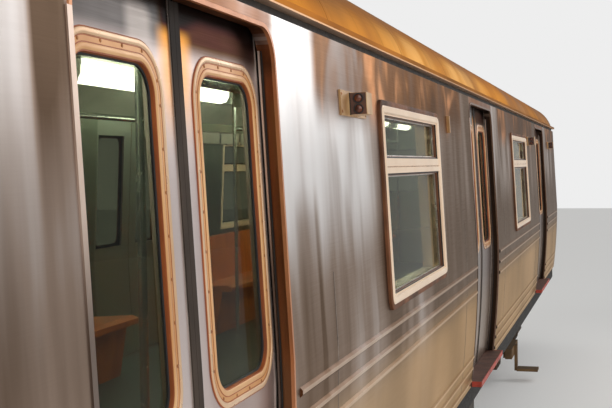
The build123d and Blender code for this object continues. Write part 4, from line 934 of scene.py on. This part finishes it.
def side_window(piece, x, width):
    """A brown surround, a rounded cream frame with its gasket, and the bar between the sashes."""
    place = window_place(x)
    outer = rounded_outline(width, WINDOW_HEIGHT, 0.055)
    band = 0.022
    edge = ((-band, 0.0), (-band, 0.015), (-0.003, 0.015), (0.002, 0.012), (0.003, 0.0))
    add_ring(piece, place, outer, edge, 0)
    line = rounded_outline(width - 2 * band, WINDOW_HEIGHT - 2 * band, 0.036)
    profile = ((-0.034, -0.004), (-0.033, 0.014), (-0.028, 0.0195), (-0.007, 0.0205), (0, 0.016), (0, 0.0))
    add_ring(piece, place, line, profile, 1)
    clear = 0.057
    half = width / 2 - clear
    low, high = -WINDOW_HEIGHT / 2 + clear, WINDOW_HEIGHT / 2 - clear
    bar_low, bar_high = TRANSOM_UP - 0.0345, TRANSOM_UP + 0.0325
    for z0, z1 in ((low, bar_low), (bar_high, high)):
        middle = (z0 + z1) / 2
        sash = [(px, py + middle, nx, ny) for px, py, nx, ny in rounded_outline(2 * half, z1 - z0, 0.018)]
        add_ring(
            piece, place, sash, ((-0.006, -0.019), (-0.006, 0.006), (0.001, 0.008), (0.001, -0.019)), 2
        )
        add_ring(
            piece, place, sash, ((-0.010, -0.019), (-0.010, -0.002), (-0.006, 0.0), (-0.006, -0.019)), 3
        )
        add_ring(
            piece, place, sash, ((-0.015, -0.019), (-0.015, -0.013), (-0.010, -0.012), (-0.010, -0.019)), 4
        )
    for z0, z1, out in ((bar_low, bar_low + 0.026, 0.016), (bar_low + 0.031, bar_high, 0.013)):
        add_wall_bar(piece, place, half, (z0, z1), out, 1)
    add_wall_bar(piece, place, half, (bar_low + 0.024, bar_low + 0.033), 0.009, 3)


def add_wall_bar(piece, place, half, z, out, paint):
    """A level bar across a window."""
    corners = [place(r, u, o) for r in (-half, half) for u in z for o in (-0.016, out)]
    piece.add(corners, BLOCK_FACES, paint)


def build_side_windows():
    windows = Piece()
    for x, width in WINDOWS:
        side_window(windows, x, width)
    paints = [surround_brown, cream, black, sash_brown, trim_steel]
    both_sides(windows).build("window_trim", "car_body", "frame_paint", paints, smooth=True)


# Sliding doors
def leaf_trim(way):
    """The window rings with their screws and the rubber nosings of the leaves that open one way."""
    piece = Piece()
    width, height = DOOR_GLASS
    for door in DOOR_XS:
        middle = door + way * DOOR_GLASS_X

        def place(right, up, out, middle=middle):
            return panel_point(middle, WINDOW_Z, right, up, out - LEAF_DEPTH * math.cos(LEAN))

        line = rounded_outline(width, height, DOOR_GLASS_CORNER, 10)
        for profile, paint in RING_PROFILES:
            add_ring(piece, place, line, profile, paint)
        for px, py in screw_places(width, height, DOOR_GLASS_CORNER, 0.0245):

            def spot(a, b, h, px=px, py=py, place=place):
                return place(px + a, py + b, 0.0022 + h)

            add_turned(piece, spot, ((0.0045, 0), (0.0045, 0.001), (0.003, 0.0018), (0.0, 0.002)), 8, 4)
        z = (FLOOR_Z + 0.012, DOOR_TOP_Z + 0.001)
        edge = door + way * 0.0006
        add_wall_strip(
            piece, sorted((edge, door + way * 0.03)), z, (-LEAF_DEPTH, -LEAF_DEPTH + 0.005), 14, 5
        )
        lip = (-LEAF_DEPTH - LEAF_THICKNESS + 0.004, -LEAF_DEPTH)
        add_wall_strip(piece, sorted((edge, door + way * 0.0024)), z, lip, 14, 5)
        bead = sorted((door + way * 0.03, door + way * 0.0345))
        add_wall_strip(piece, bead, z, (-LEAF_DEPTH, -LEAF_DEPTH + 0.0025), 14, 6)
        far = door + way * (DOOR_HALF - 0.016)
        add_wall_strip(
            piece, sorted((far, far - way * 0.007)), z, (-LEAF_DEPTH, -LEAF_DEPTH + 0.003), 14, 6
        )
    return piece


# Door window ring: closed profiles of (outwards, proud) from the opening's edge, each with its paint.
# All stay under 5 mm proud, since the leaf slides with 6 mm of air in its pocket.
# paint 3 gives thin brown lines where the ring steps, as painted shade
RING_PROFILES = (
    (((0.030, 0.0), (0.032, 0.0036), (0.035, 0.005), (0.043, 0.005), (0.046, 0.0036), (0.046, 0.0)), 0),
    (((0.0455, 0.0), (0.0455, 0.0034), (RING, 0.002), (RING, 0.0)), 3),
    (((0.014, -0.001), (0.014, 0.0022), (0.031, 0.0022), (0.031, -0.001)), 1),
    (((0.0135, 0.0), (0.0135, 0.0028), (0.0165, 0.0028), (0.0165, 0.0)), 3),
    (((0.0285, 0.0), (0.0285, 0.0028), (0.0305, 0.0028), (0.0305, 0.0)), 3),
    (
        (
            (-0.001, -0.012),
            (-0.001, 0.0026),
            (0.002, 0.0046),
            (0.011, 0.0046),
            (0.014, 0.003),
            (0.014, -0.001),
        ),
        2,
    ),
    (((-0.006, -0.0155), (-0.006, -0.006), (-0.004, 0.0012), (-0.001, 0.0012), (-0.001, -0.0155)), 3),
    (((-0.010, -0.0155), (-0.010, -0.010), (-0.006, -0.008), (-0.006, -0.0155)), 7),
)


def screw_places(width, height, corner, out, pitch=0.104):
    """Evenly spaced places round a rounded rectangle, a little outside it."""
    line = rounded_outline(width, height, corner, 10)
    points = [Vector((px + nx * out, py + ny * out)) for px, py, nx, ny in line]
    points.append(points[0])
    spots, run = [], 0.04
    for a, b in zip(points, points[1:]):
        length = (b - a).length
        while run < length:
            spot = a.lerp(b, run / length)
            spots.append((spot.x, spot.y))
            run += pitch
        run -= length
    return spots


def build_door_trim():
    for direction, way in (("fore", 1), ("aft", -1)):
        right = leaf_trim(way)
        paints = [pale_rim, peach, ring_cream, ring_shade_brown, screw_brown, rubber, trim_steel, black]
        right.build(
            f"door_trim_right_{direction}", f"doors_right_{direction}", "door_steel", paints, smooth=True
        )
        right.mirror().build(
            f"door_trim_left_{direction}", f"doors_left_{direction}", "door_steel", paints, smooth=True
        )


# the doorway's corner edge: (radius, proud)
CORNER_EDGE = [
    (DOOR_CORNER + r, o) for r, o in ((-0.003, -0.008), (0.010, -0.008), (0.010, 0.0035), (-0.003, 0.0035))
]


def build_doorways():
    """An edge round each doorway, seal strips in its reveals, and a black strip under the drip rail as
    painted shadow.
    """
    edges = Piece()
    for door in DOOR_XS:
        for side in (-1, 1):
            width = 0.018 if side < 0 else 0.010
            x = sorted((door + side * (DOOR_HALF - 0.003), door + side * (DOOR_HALF + width)))
            low = (FLOOR_Z + 0.002, DOOR_TOP_Z - DOOR_CORNER)
            add_wall_strip(edges, x, low, (-0.008, 0.0035), 12, 1 if side < 0 else 0)
            seal = sorted((door + side * DOOR_HALF, door + side * (DOOR_HALF - 0.007)))
            add_wall_strip(edges, seal, (FLOOR_Z + 0.002, DOOR_TOP_Z - 0.03), (-0.049, -0.043), 12, 1)
            add_wall_strip(edges, seal, (FLOOR_Z + 0.002, DOOR_TOP_Z - 0.03), (-0.040, -0.036), 12, 2)
            rows = []
            for step in range(9):
                angle = math.radians(90 * step / 8)
                cx, cz = door + side * (DOOR_HALF - DOOR_CORNER), DOOR_TOP_Z - DOOR_CORNER
                across, up = side * math.cos(angle), math.sin(angle)
                rows.append([wall_point(cx + across * r, cz + up * r, o) for r, o in CORNER_EDGE])
            add_grid(edges, rows, closed_rows=True, paint=0)
        x = (door - DOOR_HALF + DOOR_CORNER, door + DOOR_HALF - DOOR_CORNER)
        add_wall_strip(edges, x, (DOOR_TOP_Z - 0.003, DOOR_TOP_Z + 0.010), (-0.008, 0.0035), 1, 0)
    paints = [edge_copper, edge_pale, black]
    both_sides(edges).build("doorway_edges", "car_body", "frame_paint", paints, smooth=True)
    # a black strip under the drip rail, standing for its shadow
    strip = Piece()
    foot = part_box("roof")[1].y
    rail_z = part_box("drip_rails")[0].z
    add_block(
        strip, (-BODY_INNER_X, BODY_INNER_X), (-foot, -foot - 0.002), (HEADER_TOP_Z + 0.001, rail_z), 0
    )
    both_sides(strip).build("gutter_seal", "car_body", "spring_rubber", [black])


# Guard lights, sills
def lamp_place(x, end, up=0.0):
    """Places on an end face of the housing at x: along the face, up and outwards."""
    # the end face's middle, from the housing's middle, and its slope
    face_along, face_out = 0.055, 0.039
    slope = math.atan2(0.062, 0.020)

    def place(a, b, h):
        along = end * (face_along - a * math.cos(slope) + h * math.sin(slope))
        out = face_out + a * math.sin(slope) + h * math.cos(slope)
        return panel_point(x, GUARD_LIGHT_Z, along, up + b, out)

    return place


def build_guard_lights():
    """Two lamps on a plate at each end of the housings, and the base's edges and screws."""
    piece = Piece()
    for x in GUARD_LIGHT_XS:
        for end in (-1, 1):
            for up in (-0.0205, 0.0205):
                spot = lamp_place(x, end, up)
                add_turned(
                    piece, spot, ((0.0, 0.006), (0.009, 0.005), (0.0155, 0.001), (0.0155, -0.002)), 20, 0
                )
                add_turned(
                    piece, spot, ((0.0155, -0.002), (0.0155, 0.005), (0.0185, 0.005), (0.02, -0.002)), 20, 1
                )
            front = lamp_place(x, end)
            corners = [
                front(a, b, h) for a in (-0.030, 0.030) for b in (-0.041, 0.041) for h in (-0.001, 0.0007)
            ]
            piece.add(corners, BLOCK_FACES, 3)

            def edge(right, up, out, x=x, end=end):
                return panel_point(x + end * 0.064, GUARD_LIGHT_Z, right, up, out)

            corners = [
                edge(r, u, o) for r in (0.0, end * 0.006) for u in (-0.043, 0.043) for o in (0.008, 0.0105)
            ]
            piece.add(corners, BLOCK_FACES, 1)
            for up in (-0.033, 0.033):

                def screw(a, b, h, x=x, end=end, up=up):
                    return panel_point(x + end * 0.185, GUARD_LIGHT_Z, a, up + b, 0.008 + h)

                add_turned(piece, screw, ((0.006, 0.0), (0.006, 0.002), (0.0, 0.003)), 8, 2)
    paints = [lamp_lens, black, screw_brown, face_brown]
    both_sides(piece).build("guard_lamps", "car_body", "lamp_glass", paints, smooth=True)


def build_seams():
    """The sheets' upright seams, from the skirt to under the windows' middle."""
    piece = Piece()
    for x in SEAM_XS:
        add_wall_strip(
            piece, (x - 0.0014, x + 0.0014), (SKIRT_Z + 0.004, FLOOR_Z + 1.12), (-0.001, 0.0006), 14, 0
        )
        add_wall_strip(
            piece, (x + 0.0014, x + 0.0035), (SKIRT_Z + 0.004, FLOOR_Z + 1.12), (-0.001, 0.0009), 14, 1
        )
    both_sides(piece).build("panel_seams", "car_body", "stainless", [seam_dark, trim_steel])


# The ends of the car
def end_place(side, y, z, out=0.0):
    """Places on an end of the car: across, up and outwards."""
    return lambda right, up, proud: (side * (BODY_END_X + out + proud), y + right, z + up)


GASKET = ((-0.012, -0.012), (-0.012, 0.003), (-0.004, 0.006), (0.010, 0.006), (0.014, 0.0))
FRAME_RING = ((0.012, 0.0), (0.012, 0.005), (0.016, 0.008), (0.036, 0.008), (0.040, 0.0))
DOOR_RING = ((0.012, 0.0), (0.012, 0.003), (0.016, 0.0045), (0.036, 0.0045), (0.040, 0.0))


def end_window(piece, side, y):
    """The gasket, frame and screws of an end window."""
    place = end_place(side, y, END_WINDOW_PLACE[1])
    line = rounded_outline(*END_WINDOW_SIZE, 0.06, 8)
    add_ring(piece, place, line, GASKET, 0)
    add_ring(piece, place, line, FRAME_RING, 1)
    for px, py in screw_places(*END_WINDOW_SIZE, 0.06, 0.026, 0.16):
        spot = end_place(side, y + px, END_WINDOW_PLACE[1] + py, 0.008)
        add_turned(piece, spot, ((0.005, 0), (0.004, 0.002), (0, 0.0025)), 8, 2)


def end_irons(piece, side, edge):
    """A grab iron near the corner, and the rails beside the end door."""
    foot, top = FLOOR_Z + 0.25, FLOOR_Z + 1.15
    rise = ((0, foot), (0.045, foot + 0.015), (0.06, foot + 0.05))
    fall = ((0.06, top - 0.05), (0.045, top - 0.015), (0, top))
    iron = [(side * (BODY_END_X + out), edge * IRON_Y, z) for out, z in rise + fall]
    add_tube(piece, iron, 0.014, 10, 3)
    for z in (foot, top):
        flange = end_place(side, edge * IRON_Y, z)
        add_turned(piece, flange, ((0.03, 0.0), (0.03, 0.006), (0.0, 0.007)), 14, 3)
    for z in (FLOOR_Z + 0.12, FLOOR_Z + 0.55, FLOOR_Z + 0.98):
        bends = ((0, 0.5), (0.05, 0.5), (0.05, 0.46))
        rail = [(side * (BODY_END_X + out), edge * across, z) for out, across in bends]
        add_tube(piece, rail, 0.01, 8, 3)
    bar = [(side * (BODY_END_X + 0.05), edge * 0.46, FLOOR_Z + h) for h in (0.08, 1.02)]
    add_tube(piece, bar, 0.013, 10, 3)


def end_lamps(piece):
    """The bezels and domed lenses of the lamps on both ends."""
    bezel = ((0.075, -0.024), (0.078, -0.004), (0.074, 0.006), (0.064, 0.006), (0.062, 0.0))
    turns = [math.radians(15 * n) for n in range(7)]
    dome = [(0.062 * math.cos(a), 0.016 * math.sin(a)) for a in turns]
    for side, height, y in END_LAMPS:
        for edge in (-1, 1):
            place = end_place(side, edge * y, FLOOR_Z + height, 0.024)
            add_turned(piece, place, bezel, 28, 1)
            add_turned(piece, place, dome, 28, 4 if height < 0.4 else 5)


def build_end_door(end, side):
    """The window rings, kick plate and handle of an end door."""
    door = Piece()
    line = rounded_outline(*END_DOOR_GLASS, 0.06, 8)
    add_ring(door, end_place(side, 0, END_DOOR_GLASS_Z, -0.05), line, GASKET, 0)
    add_ring(door, end_place(side, 0, END_DOOR_GLASS_Z, -0.043), line, DOOR_RING, 1)
    plate = (side * (BODY_END_X - 0.043), side * (BODY_END_X - 0.04))
    add_block(door, plate, (-0.33, 0.33), (FLOOR_Z + 0.03, FLOOR_Z + 0.3), 1)
    handle = end_place(side, -0.31, FLOOR_Z + 0.98, -0.043)
    add_turned(door, handle, ((0.04, 0.0), (0.04, 0.003), (0.034, 0.0045), (0.03, 0.0015)), 28, 1)
    add_turned(door, handle, ((0.031, 0.0012), (0.0, 0.0012)), 28, 0)
    add_turned(door, handle, ((0.008, 0.001), (0.008, 0.0042), (0.0, 0.0045)), 16, 1)
    paints = [black, trim_steel]
    door.build(f"end_door_trim_{end}", f"{end}_end_door", "door_steel", paints, smooth=True)


def build_ends():
    """Window trim, irons, two level rails over each end door, lamps, and the end doors' trim."""
    piece = Piece()
    for side in (-1, 1):
        for edge in (-1, 1):
            end_window(piece, side, edge * END_WINDOW_PLACE[0])
            end_irons(piece, side, edge)
        for z in (FLOOR_Z + 1.86, FLOOR_Z + 1.92):
            x = (side * BODY_END_X, side * (BODY_END_X + 0.012))
            add_block(piece, x, (-0.46, 0.46), (z, z + 0.018), 3)
    end_lamps(piece)
    paints = [black, trim_steel, screw_brown, trim_steel, lamp_red, lamp_clear]
    piece.build("end_fittings", "car_body", "stainless", paints, smooth=True)
    for end, side in ENDS:
        build_end_door(end, side)


# Trucks and wheels
def add_bolt_ring(piece, place, radius, count, size, height, paint):
    """Hexagon bolt heads evenly round a circle."""
    for n in range(count):
        angle = math.tau * n / count

        def spot(a, b, h, angle=angle):
            return place(radius * math.cos(angle) + a, radius * math.sin(angle) + b, h)

        add_turned(
            piece,
            spot,
            ((size, 0.0), (size, height), (size * 0.7, height * 1.2), (0.0, height * 1.2)),
            6,
            paint,
        )


def build_trucks():
    """Axle-box covers with bolts, rings round the air springs, and brake pipes."""
    for end, side in ENDS:
        piece = Piece()
        middle = side * TRUCK_X
        for edge in (-1, 1):
            for axle in (-1, 1):
                x = middle + axle * AXLE_OFFSET

                def cover(a, b, h, x=x, edge=edge):
                    return (x + a, edge * (SIDE_FRAME_Y + 0.085 + h), AXLE_Z + b)

                profile = (
                    (0.115, -0.01), (0.115, 0.008), (0.085, 0.014), (0.08, 0.026), (0.03, 0.03), (0.0, 0.03)
                )
                add_turned(piece, cover, profile, 28, 0)
                add_bolt_ring(piece, cover, 0.099, 6, 0.011, 0.018, 1)
            for z in (0.735, 0.79, 0.845):

                def hoop(a, b, h, edge=edge, z=z, middle=middle):
                    return (middle + a, edge * SIDE_FRAME_Y + b, z + h)

                turns = [math.radians(22.5 * n) for n in range(9)]
                bulge = [(0.232 + 0.017 * math.sin(a), 0.026 * math.cos(a)) for a in turns]
                add_turned(piece, hoop, bulge, 36, 2)
            pipe_y = edge * (SIDE_FRAME_Y - 0.05)
            bends = (
                (-0.98, 0.635), (-0.4, 0.635), (-0.3, 0.575), (0.3, 0.575), (0.4, 0.635), (0.98, 0.635)
            )
            run = [(middle + dx, pipe_y, z) for dx, z in bends]
            add_tube(piece, run, 0.011, 8, 3)
        paints = [truck_iron, motor_grey, spring_rubber, pipe_steel]
        piece.build(f"truck_fittings_{end}", f"truck_{end}", "truck_iron", paints, smooth=True)


def build_wheels():
    """Hub and rim rings and bolts on the outer faces of the wheels."""
    for n, x in enumerate(AXLE_XS):
        piece = Piece()
        for edge in (-1, 1):

            def face(a, b, h, x=x, edge=edge):
                return (x + a, edge * (WHEEL_FACE_Y + h), AXLE_Z + b)

            hub = ((0.16, 0.0), (0.155, 0.02), (0.118, 0.028), (0.112, 0.046), (0.085, 0.05), (0.064, 0.05))
            add_turned(piece, face, hub, 40, 0)
            rim = ((0.37, 0.0), (0.368, 0.018), (0.34, 0.006), (0.33, 0.0))
            add_turned(piece, face, rim, 48, 0)
            add_bolt_ring(piece, face, 0.135, 8, 0.009, 0.032, 1)
            for angle in (0.3, 3.4):

                def hole(a, b, h, angle=angle, face=face):
                    return face(0.25 * math.cos(angle) + a, 0.25 * math.sin(angle) + b, h)

                add_turned(piece, hole, ((0.026, 0.001), (0.024, 0.003), (0.0, 0.003)), 16, 2)
        paints = [wheel_steel, motor_grey, black]
        piece.build(f"wheel_fittings_{n + 1}", f"axle_{n + 1}", "wheel_steel", paints, smooth=True)


# Under the floor
def build_underfloor():
    """Latches, hinges and louvres on the box doors, fins between the grid slats, and long pipes."""
    piece = Piece()
    for x, length, side, drop in BOXES:
        doors = round(length / 0.42)
        pitch = length / doors
        low = HANGER_Z - drop + 0.08
        high = HANGER_Z - 0.04
        face = side * (BOX_OUT_Y + 0.012)
        for n in range(doors):
            start = x - length / 2 + n * pitch + 0.02
            end = start + pitch - 0.04
            for at in (start + 0.05, end - 0.05):
                add_block(
                    piece,
                    (at - 0.012, at + 0.012),
                    (face, face + side * 0.014),
                    (low + 0.015, low + 0.055),
                    1,
                )
                add_block(
                    piece,
                    (at - 0.02, at + 0.02),
                    (face, face + side * 0.008),
                    (high - 0.03, high - 0.008),
                    1,
                )
            if (n + doors) % 2:
                for row in range(7):
                    z = low + 0.1 + row * 0.028
                    corners = [
                        (start + 0.06, face, z),
                        (end - 0.06, face, z),
                        (end - 0.06, face + side * 0.009, z - 0.004),
                        (start + 0.06, face + side * 0.009, z - 0.004),
                        (start + 0.06, face, z + 0.016),
                        (end - 0.06, face, z + 0.016),
                    ]
                    piece.add(corners, [(0, 1, 2, 3), (3, 2, 5, 4), (0, 3, 4), (1, 5, 2)], 0)
    for grid in range(3):
        start = 3.15 + grid * 1.1 - 0.48
        for gap in range(6):
            for fin in range(1, 6):
                x = start + 0.024 + gap * 0.156 + fin * 0.022
                y = (BOX_OUT_Y - 0.67, BOX_OUT_Y - 0.02)
                add_block(piece, (x, x + 0.005), y, (HANGER_Z - 0.36, HANGER_Z - 0.04), 2)
    for y, z, radius in (
        (-0.42, 0.992, 0.018), (0.30, 0.99, 0.02), (0.36, 0.99, 0.014), (0.41, 0.99, 0.014)
    ):
        add_tube(piece, [(-PIPE_END_X, y, z), (PIPE_END_X, y, z)], radius, 10, 3)
    for y in (-1.36, 1.36):
        add_tube(piece, [(-6.2, y, 1.0), (6.2, y, 1.0)], 0.022, 10, 3)
        for n in range(9):
            x = -6.0 + n * 1.5
            add_block(piece, (x - 0.02, x + 0.02), (y - 0.03, y + 0.03), (0.985, SKIRT_Z - 0.1), 0)
    piece.build(
        "underfloor_fittings", "car_body", "box_paint", [box_grey, motor_grey, grid_iron, pipe_steel]
    )


# Saloon
def build_saloon():
    """Blank cards above the windows and the lamp covers, seen through the glass."""
    piece = Piece()
    for x in (-DOOR_SPACING, 0.0, DOOR_SPACING):
        for n in range(-2, 3):
            at = x + n * 0.56
            corners = [
                panel_point(at, FLOOR_Z + 1.83, r, u, -0.122) for r in (-0.26, 0.26) for u in (-0.1, 0.0)
            ]
            piece.add(corners, [(0, 1, 3, 2)], 0)
            for u in (-0.105, 0.005):
                rail = [panel_point(at, FLOOR_Z + 1.83, r, u, -0.124) for r in (-0.27, 0.27)]
                add_tube(piece, rail, 0.005, 6, 1)
    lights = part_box("ceiling_lights")
    pitch = CEILING_LIGHT_PITCH
    for n in range(math.ceil(lights[0].x / pitch), math.floor(lights[1].x / pitch)):
        x = (n * pitch + 0.25, n * pitch + pitch - 0.25)
        rows = [[(a, dy - LIGHT_Y, lights[0].z + dz) for dy, dz in COVER_PROFILE] for a in x]
        add_grid(piece, rows, closed_rows=True, closed_ends=True, paint=2)
        for a, b in ((x[0] - 0.03, x[0]), (x[1], x[1] + 0.03)):
            add_block(
                piece, (a, b), (-LIGHT_Y - 0.078, -LIGHT_Y + 0.078), (lights[0].z - 0.1, lights[0].z), 3
            )
    paints = [card, trim_steel, light_cover, ceiling_white]
    both_sides(piece).build("saloon_fittings", "car_body", "ceiling_panel", paints)


# Couplers
def build_couplers():
    """Rows of contacts on a plate below each coupler's head."""
    for end, side in ENDS:
        piece = Piece()
        # the head's face, 120 mm behind the nose's
        face = side * (BODY_END_X + 0.13)
        add_block(piece, (face, face + side * 0.005), (-0.103, 0.103), (0.655, 0.716), 0)
        for row in range(3):
            for column in range(9):

                def contact(a, b, h, side=side, face=face, row=row, column=column):
                    return (face + side * (0.005 + h), (column - 4) * 0.0215 + a, 0.668 + row * 0.018 + b)

                add_turned(piece, contact, ((0.006, 0.0), (0.006, 0.003), (0.0, 0.004)), 8, 1)
        piece.build(
            f"coupler_fittings_{end}", f"drawbar_{end}", "coupler_iron", [black, trim_steel], smooth=True
        )


def build_sills():
    """Red edges and tread bars on the door sills."""
    piece = Piece()
    skin = skin_y(FLOOR_Z)
    half = DOOR_HALF + 0.02
    for door in DOOR_XS:
        z = (FLOOR_Z - 0.035, FLOOR_Z + 0.002)
        add_block(piece, (door - half, door + half), (-SILL_OUT_Y - 0.0015, -SILL_OUT_Y + 0.002), z, 1)
        for end in (-1, 1):
            x = (door + end * (half + 0.0015), door + end * (half - 0.002))
            add_block(piece, x, (-SILL_OUT_Y, -skin - 0.004), z, 1)
        for n in range(9):
            y = -skin + 0.03 - n * 0.011
            x = (door - half + 0.03, door + half - 0.03)
            add_block(piece, x, (y, y - 0.005), (FLOOR_Z - 0.001, FLOOR_Z + 0.002), 0)
    both_sides(piece).build("sill_treads", "car_body", "sill_iron", [sill_top, sill_red])


# Stage, light and camera
def build_stage():
    mesh = bpy.data.meshes.new("stage_floor")
    size = 60
    mesh.from_pydata(
        [(-size, -size, 0), (size, -size, 0), (size, size, 0), (-size, size, 0)], [], [(0, 1, 2, 3)]
    )
    floor = bpy.data.objects.new("stage_floor", mesh)
    bpy.context.scene.collection.objects.link(floor)
    pale = Paint("stage pale", roughness=0.9)
    pale.colour(srgb(236, 235, 232))
    pale.shader.inputs["Emission Color"].default_value = (1, 1, 1, 1)
    pale.shader.inputs["Emission Strength"].default_value = 0.14
    mesh.materials.append(pale.material)


def build_light():
    world = bpy.data.worlds.new("soft studio")
    bpy.context.scene.world = world
    world.use_nodes = True
    tree = world.node_tree
    background = tree.nodes["Background"]
    background.inputs["Color"].default_value = (*srgb(238, 238, 238), 1)
    path = tree.nodes.new("ShaderNodeLightPath")
    seen = tree.nodes.new("ShaderNodeMath")
    seen.operation = "MAXIMUM"
    tree.links.new(path.outputs["Is Camera Ray"], seen.inputs[0])
    tree.links.new(path.outputs["Is Transmission Ray"], seen.inputs[1])
    strength = tree.nodes.new("ShaderNodeMapRange")
    strength.inputs["To Min"].default_value = 0.56
    strength.inputs["To Max"].default_value = 1.0
    tree.links.new(seen.outputs["Value"], strength.inputs["Value"])
    tree.links.new(strength.outputs["Result"], background.inputs["Strength"])
    # the lamps leave the panes alone, so the saloon shows through them
    lit = bpy.data.collections.new("lit by lamps")
    for thing in bpy.context.scene.objects:
        if thing.type == "MESH" and not any(
            word in thing.name for word in ("glass", "panes", "end_windows")
        ):
            lit.objects.link(thing)
    # name, place, size, power
    for name, place, aim, size, power in (
        ("key", (-6, -9, 7), (0, -1, 2), 8, 420),
        ("along", (10, -6.5, 6.5), (-1, -1, 2.4), 5, 170),
        ("left fill", (0, 9, 7), (0, 1, 2), 9, 300),
    ):
        lamp = bpy.data.lights.new(name, "AREA")
        lamp.size = size
        lamp.energy = power
        holder = bpy.data.objects.new(name, lamp)
        holder.location = place
        holder.rotation_euler = (Vector(aim) - Vector(place)).to_track_quat("-Z", "Y").to_euler()
        bpy.context.scene.collection.objects.link(holder)
        holder.light_linking.receiver_collection = lit


def build_camera():
    forward = Vector(
        (
            math.cos(CAMERA_PITCH) * math.cos(CAMERA_YAW),
            math.cos(CAMERA_PITCH) * math.sin(CAMERA_YAW),
            math.sin(CAMERA_PITCH),
        )
    )
    level = Vector((math.sin(CAMERA_YAW), -math.cos(CAMERA_YAW), 0))
    upright = level.cross(forward)
    right = level * math.cos(CAMERA_ROLL) + upright * math.sin(CAMERA_ROLL)
    up = upright * math.cos(CAMERA_ROLL) - level * math.sin(CAMERA_ROLL)
    camera_data = bpy.data.cameras.new("photo camera")
    camera_data.sensor_width = 36
    camera_data.lens = FOCAL_PIXELS * camera_data.sensor_width / PHOTO_WIDTH
    camera_data.clip_start = 0.05
    camera_data.clip_end = 200
    camera = bpy.data.objects.new("photo camera", camera_data)
    matrix = Matrix((right, up, -forward)).transposed().to_4x4()
    matrix.translation = CAMERA_AT
    camera.matrix_world = matrix
    bpy.context.scene.collection.objects.link(camera)
    bpy.context.scene.camera = camera


paint_nodes()
build_side_windows()
build_door_trim()
build_doorways()
build_guard_lights()
build_seams()
build_sills()
build_ends()
build_trucks()
build_wheels()
build_underfloor()
build_saloon()
build_couplers()
build_stage()
build_light()
build_camera()
bpy.context.scene.view_settings.view_transform = "Standard"
